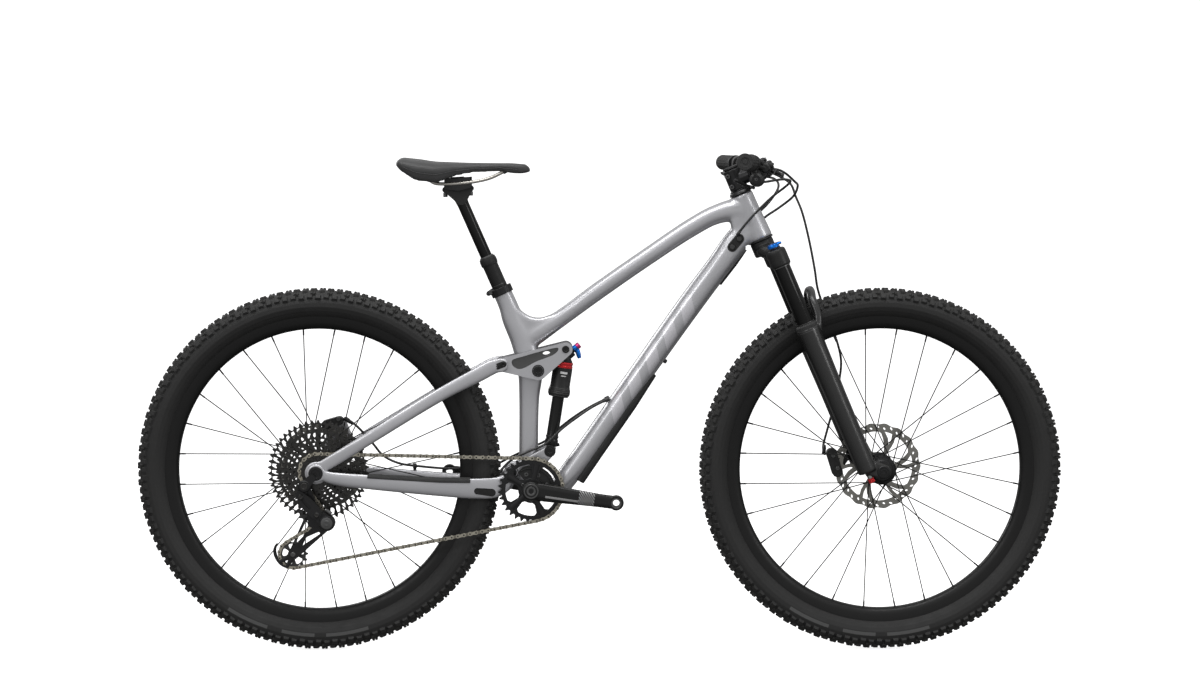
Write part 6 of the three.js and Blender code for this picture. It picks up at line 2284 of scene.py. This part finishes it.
def brake_lever(name, side):
    """Master cylinder on its clamp, its bolts and hose nut, and the drilled blade."""
    def at(y, ahead, below=0):
        return from_bar(side * y, ahead, below)

    s = Shape()
    axis = (bar_point(side * 220) - bar_point(side * 206)).normalized()
    low = bar_point(side * 206)
    s.add(lathe(
        [(11.7, 0.3), (15.6, 0.3), (16.4, 1.4), (16.4, 12.4), (15.6, 13.6), (11.7, 13.6)], low, axis, 48,
        True,
    ))
    s.add(rod(at(213, 8, 11), at(213, 16, 22), 5.6, 24, 1))
    s.add(rod(at(213, 12, -10), at(213, 20, -6), 5.0, 24, 1))
    body = [
        at(147, 24), at(150, 24.2), at(164, 24.8), at(182, 25.6), at(198, 26.4), at(208, 26.8), at(213, 27),
    ]
    s.add(tube(
        body, [(6.5, 6.5), (8.6, 8.6), (9.2, 9.4), (9.6, 9.8), (10, 10), (9.6, 9.4), (7, 7)], 36, Z_AXIS,
    ))
    s.add(tube(
        [at(155, 27, -8), at(158, 27, -8), at(176, 27.4, -8.4), at(192, 28, -8.4), at(197, 28, -8)],
        [(3, 4), (7.2, 8), (8, 8.6), (7.4, 8), (3, 4)], 32, Z_AXIS,
    ))
    s.add(tube([at(208, 13, 1), at(206, 20, 0.5), at(205, 27, 0)], [(7.5, 8), (8, 8.4), (8, 8)], 28, Z_AXIS))
    s.add(rod(at(196, 30, -9), at(196, 38.5, -9), 6.6, 32, 1))
    s.add(rod(at(196, 36, -9.4), at(196, 36, -4.9), 5.4, 28, 0.6))
    s.add(rod(at(196, 36, 4.9), at(196, 36, 8.4), 5.4, 28, 0.6))
    s.add(tube(
        [at(196, 27, 7), at(196, 32, 7), at(196, 36, 6.8)], [(3.2, 6), (2.2, 6), (1.8, 5.2)], 20, LEVER_DOWN,
    ))
    make(
        f"brake_{name}_master", s, "steering_assembly", BLACK_GLOSS if side > 0 else BLACK_SATIN,
        [f"brake_body_{name}"], bevel=0.4, sharp=35,
    )
    s = Shape()
    s.add(bolt(at(196, 36, -9.2), -LEVER_DOWN, 3.4, 1.4, 0.55, 24))
    s.add(bolt(at(196, 36, 8.2), LEVER_DOWN, 3.4, 1.2, 0.55, 24))
    for y in (161, 191):
        s.add(bolt(at(y, 27.5, -16.2), -LEVER_DOWN, 2.2, 1.1, 0.5, 18))
    s.add(bolt(at(213, 19.6, -6.4), LEVER_AHEAD, 3.6, 1.8, 0.55, 24))
    s.add(rod(at(148, 24), at(139, 24), 4.2, 6, 0.5))
    s.add(rod(at(140, 24), at(133, 23.6), 3.3, 20, 0.6), 1)
    s.add(lathe([(9.0, 0), (9.9, 0.3), (9.9, 2.6), (9.0, 3)], at(201, 26.6), axis, 36, True))
    make(f"brake_{name}_fittings", s, "steering_assembly", [ALLOY_GREY, PLASTIC], sharp=28)
    s = Shape()
    path = spline(
        [
            at(196, 36), at(204, 48), at(212, 56), at(225, 63), at(238, 66), at(252, 66.4), at(268, 66),
            at(284, 67.4), at(300, 70),
        ],
        3,
    )
    count = len(path)
    radii = []
    for i in range(count):
        t = i / (count - 1)
        tall = 4.4 if t < 0.45 else 4.4 + 1.2 * math.sin((t - 0.45) / 0.55 * math.pi)
        radii.append((
            tall if 0 < i < count - 1 else 2.0,
            3.6 - 0.6 * smooth_share(t, 0.2, 0.6) if 0 < i < count - 1 else 1.6,
        ))
    s.add(tube(path, radii, 24, LEVER_DOWN))
    s.add(rod(at(196, 36, -4.3), at(196, 36, 4.3), 5.3, 32, 0.5))
    for k in range(3):
        share = 0.62 + k * 0.11
        p = path[int(share * (count - 1))]
        s.add(rod(p - LEVER_DOWN * 4.9, p + LEVER_DOWN * 4.9, 1.7, 16, 0.3), 1)
    s.add(rod(at(208, 47, -5), at(208, 47, 5), 2.6, 20, 0.4), 1)
    make(
        f"brake_{name}_lever_blade", s, f"{name}_brake_lever", [ALLOY_BLACK, ALLOY_GREY],
        [f"brake_blade_{name}"], sharp=35,
    )


def shifters():
    """Shifter pod, its two-part trim, both thumb levers and the clamp of the dropper remote."""
    def at(y, ahead, below=0):
        return from_bar(-y, ahead, below)

    s = Shape()
    pod = [
        at(195.5, 20, 27), at(197, 20, 27), at(201, 20, 27), at(214, 20, 27), at(224, 20, 27),
        at(228, 20, 27),
    ]
    s.add(tube(pod, [(10, 10.5), (13, 13.4), (14, 14), (14, 14), (13.2, 13.4), (9, 9.4)], 44, Z_AXIS))
    s.add(tube([at(205, 14, 12), at(205, 16, 18), at(205, 17, 24)], [(5, 7), (5.5, 7.5), (6, 8)], 24))
    s.add(rod(at(195.8, 20, 30), at(187, 20, 30), 4.4, 28, 0.8))
    s.add(rod(at(187.4, 20, 30), at(181, 20, 30), 3.4, 24, 0.6))
    make("shifter_pod", s, "steering_assembly", PLASTIC, bevel=0.5, sharp=35)
    s = Shape()
    s.add(rod(at(227.6, 20, 27), at(229.4, 20, 27), 8.8, 40, 0.5), 1)
    s.add(bolt(at(229.2, 20, 27), -Y_AXIS, 3.4, 1.2, 0.55, 24))
    s.add(bolt(at(212, 20, 12.8), -LEVER_DOWN, 2.6, 1, 0.5, 18))
    for y in (199, 221):
        s.add(band(13.2, 14.5, 0, 1.2, at(y, 20, 27), -Y_AXIS, 44, 0.2), 1)
    make("shifter_pod_trim", s, "steering_assembly", [ALLOY_GREY, ALLOY_BLACK], sharp=28)
    for name, side, y0, y1, ahead, below, body, node in (
        ("shift", -1, 212, 240, 16, 41.4, "shift_lever", "shift_paddle"),
        ("dropper", 1, 207, 234, 10, 29.8, "dropper_lever", "dropper_remote"),
    ):
        def spot(y, a, b):
            return from_bar(side * y, a, b)

        s = Shape()
        s.add(rod(spot(y0, ahead, below + 0.4), spot(y0, ahead, below + 6), 7, 36, 0.8))
        path = spline(
            [
                spot(y0, ahead, below + 3), spot(y0 + 6, ahead - 9, below + 4),
                spot(y0 + 12, ahead - 16, below + 4), spot(y1 - 6, ahead - 27, below + 3),
                spot(y1, ahead - 34, below + 2),
            ],
            3,
        )
        n = len(path)
        radii = [
            (2.8 + 0.6 * (i / (n - 1)), 4.2 + 2.4 * smooth_share(i / (n - 1), 0.35, 0.9)) if i < n - 1
            else (1.6, 4.0) for i in range(n)
        ]
        s.add(tube(path, radii, 24, LEVER_DOWN))
        for k in range(4):
            p = path[n - 2 - k] if k < n - 2 else path[-1]
            s.add(rod(p - Y_AXIS * 4 + LEVER_DOWN * -3.2, p + Y_AXIS * 4 + LEVER_DOWN * -3.2, 0.6, 8, 0.2), 1)
        make(f"{name}_thumb_lever", s, body, [ALLOY_BLACK, GUARD], [node], sharp=35)
    s = Shape()
    s.add(tube(
        [from_bar(199, 10, 20), from_bar(201, 10, 20), from_bar(212, 10, 20), from_bar(214, 10, 20)],
        [(7, 7), (9, 9), (9, 9), (7, 7)], 36, Z_AXIS,
    ))
    s.add(rod(from_bar(200, 9, 20), from_bar(192, 8, 20), 3.6, 24, 0.8))
    s.add(bolt(from_bar(213.6, 10, 20), Y_AXIS, 3.4, 1.4, 0.55, 24), 1)
    make(
        "dropper_remote_body", s, "steering_assembly", [ALLOY_BLACK, ALLOY_GREY], bevel=0.4,
        sharp=32,
    )


def hoses():
    """Brake hoses and gear housings between their ends, with end caps, and the hose clip."""
    left_exit, right_exit = from_bar(145.8, 24), from_bar(-145.8, 24)
    pod_exit, remote_exit = from_bar(-193.6, 20, 30), from_bar(197, 8, 20)

    def off(point, dx, y, dz):
        return (point.x + dx, y, point.z + dz)

    runs = {
        "front_brake_hose": (
            [
                left_exit, off(left_exit, 24, 122, -8), (398, 92, 962), (409, 85, 935), (422, 86, 904),
                (438, 90, 843), (450, 93, 783), (457, 96, 741), (475, 99, 690), (498, 100, 632),
                (507, 100, 590), (503, 100, 547), (492, 98, 495), (478, 94, 445), (468, 78, 410),
                (470, 58, 398),
            ],
            ("steering_assembly", "fork_lower_assembly", (450, 93, 783), (503, 100, 547)),
        ),
        "rear_brake_hose": (
            [
                right_exit, off(right_exit, 30, -118, -5), (394, -60, 968), (405, -10, 957), (398, 30, 935),
                (370, 42, 912), (342, 41, 893), (314, 38, 866), (297, 31.5, 845),
            ],
            ("frame", "steering_assembly", (300, 33, 850), (400, 28, 940)),
        ),
        "shift_housing": (
            [
                pod_exit, off(pod_exit, 14, -168, -2), (366, -122, 972), (384, -86, 968), (376, -62, 957),
                (350, -48, 936), (314, -40, 900), (290, -35, 872), (280, -31, 858),
            ],
            ("frame", "steering_assembly", (284, -33, 864), (376, -62, 957)),
        ),
        "dropper_housing": (
            [
                remote_exit, off(remote_exit, 20, 172, -4), (366, 112, 972), (372, 76, 955), (352, 54, 925),
                (322, 46, 895), (300, 38, 870), (288, 31.5, 858),
            ],
            ("frame", "steering_assembly", (290, 32, 861), (372, 76, 955)),
        ),
        "rear_brake_hose_lower": (
            [
                (14, 14, 519), (-16, 16, 504), (-50, 28, 482), (-79, 30, 460), (-112, 34, 430),
                (-150, 37, 412), (-184, 44, 395), (-229, 51, 374), (-300, 54, 369), (-371, 60, 373),
                (-420, 62, 380), (-452, 62, 396), (-474, 62, 422), (-506, 62, 457), (-529, 60, 475),
            ],
            ("frame", "chainstay_assembly", (0, 15, 512), (-184, 44, 395)),
        ),
        "shift_housing_lower": (
            [
                (14, -14, 519), (-16, -16, 504), (-50, -28, 482), (-79, -30, 460), (-112, -34, 430),
                (-150, -34, 413), (-182, -36, 397), (-199, -37, 381), (-205, -38, 372),
            ],
            ("frame", "chainstay_assembly", (0, -15, 512), (-182, -36, 397)),
        ),
    }
    for name, (points, body) in runs.items():
        path = spline(points, 8)
        s = Shape().add(tube(path, 2.5, 18))
        for end, nxt in ((path[0], path[3]), (path[-1], path[-4])):
            way = (nxt - end).normalized()
            s.add(rod(end + way * 0.2, end + way * 9, 3.1, 20, 0.5), 1)
        make(f"{name}_line", s, body, [HOSE, PLASTIC], [name], sharp=50)
    s = Shape()
    s.add(band(2.7, 5.2, -4, 4, (-386, 61, 374.5), (1, 0, 0.08), 32, 0.8))
    s.add(rod((-386, 61, 369), (-386, 66.5, 362), 3.4, 20, 0.6))
    make("hose_clip", s, "chainstay_assembly", PLASTIC, sharp=40)


handlebar()
grips()
brake_lever("right", -1)
brake_lever("left", 1)
shifters()
hoses()
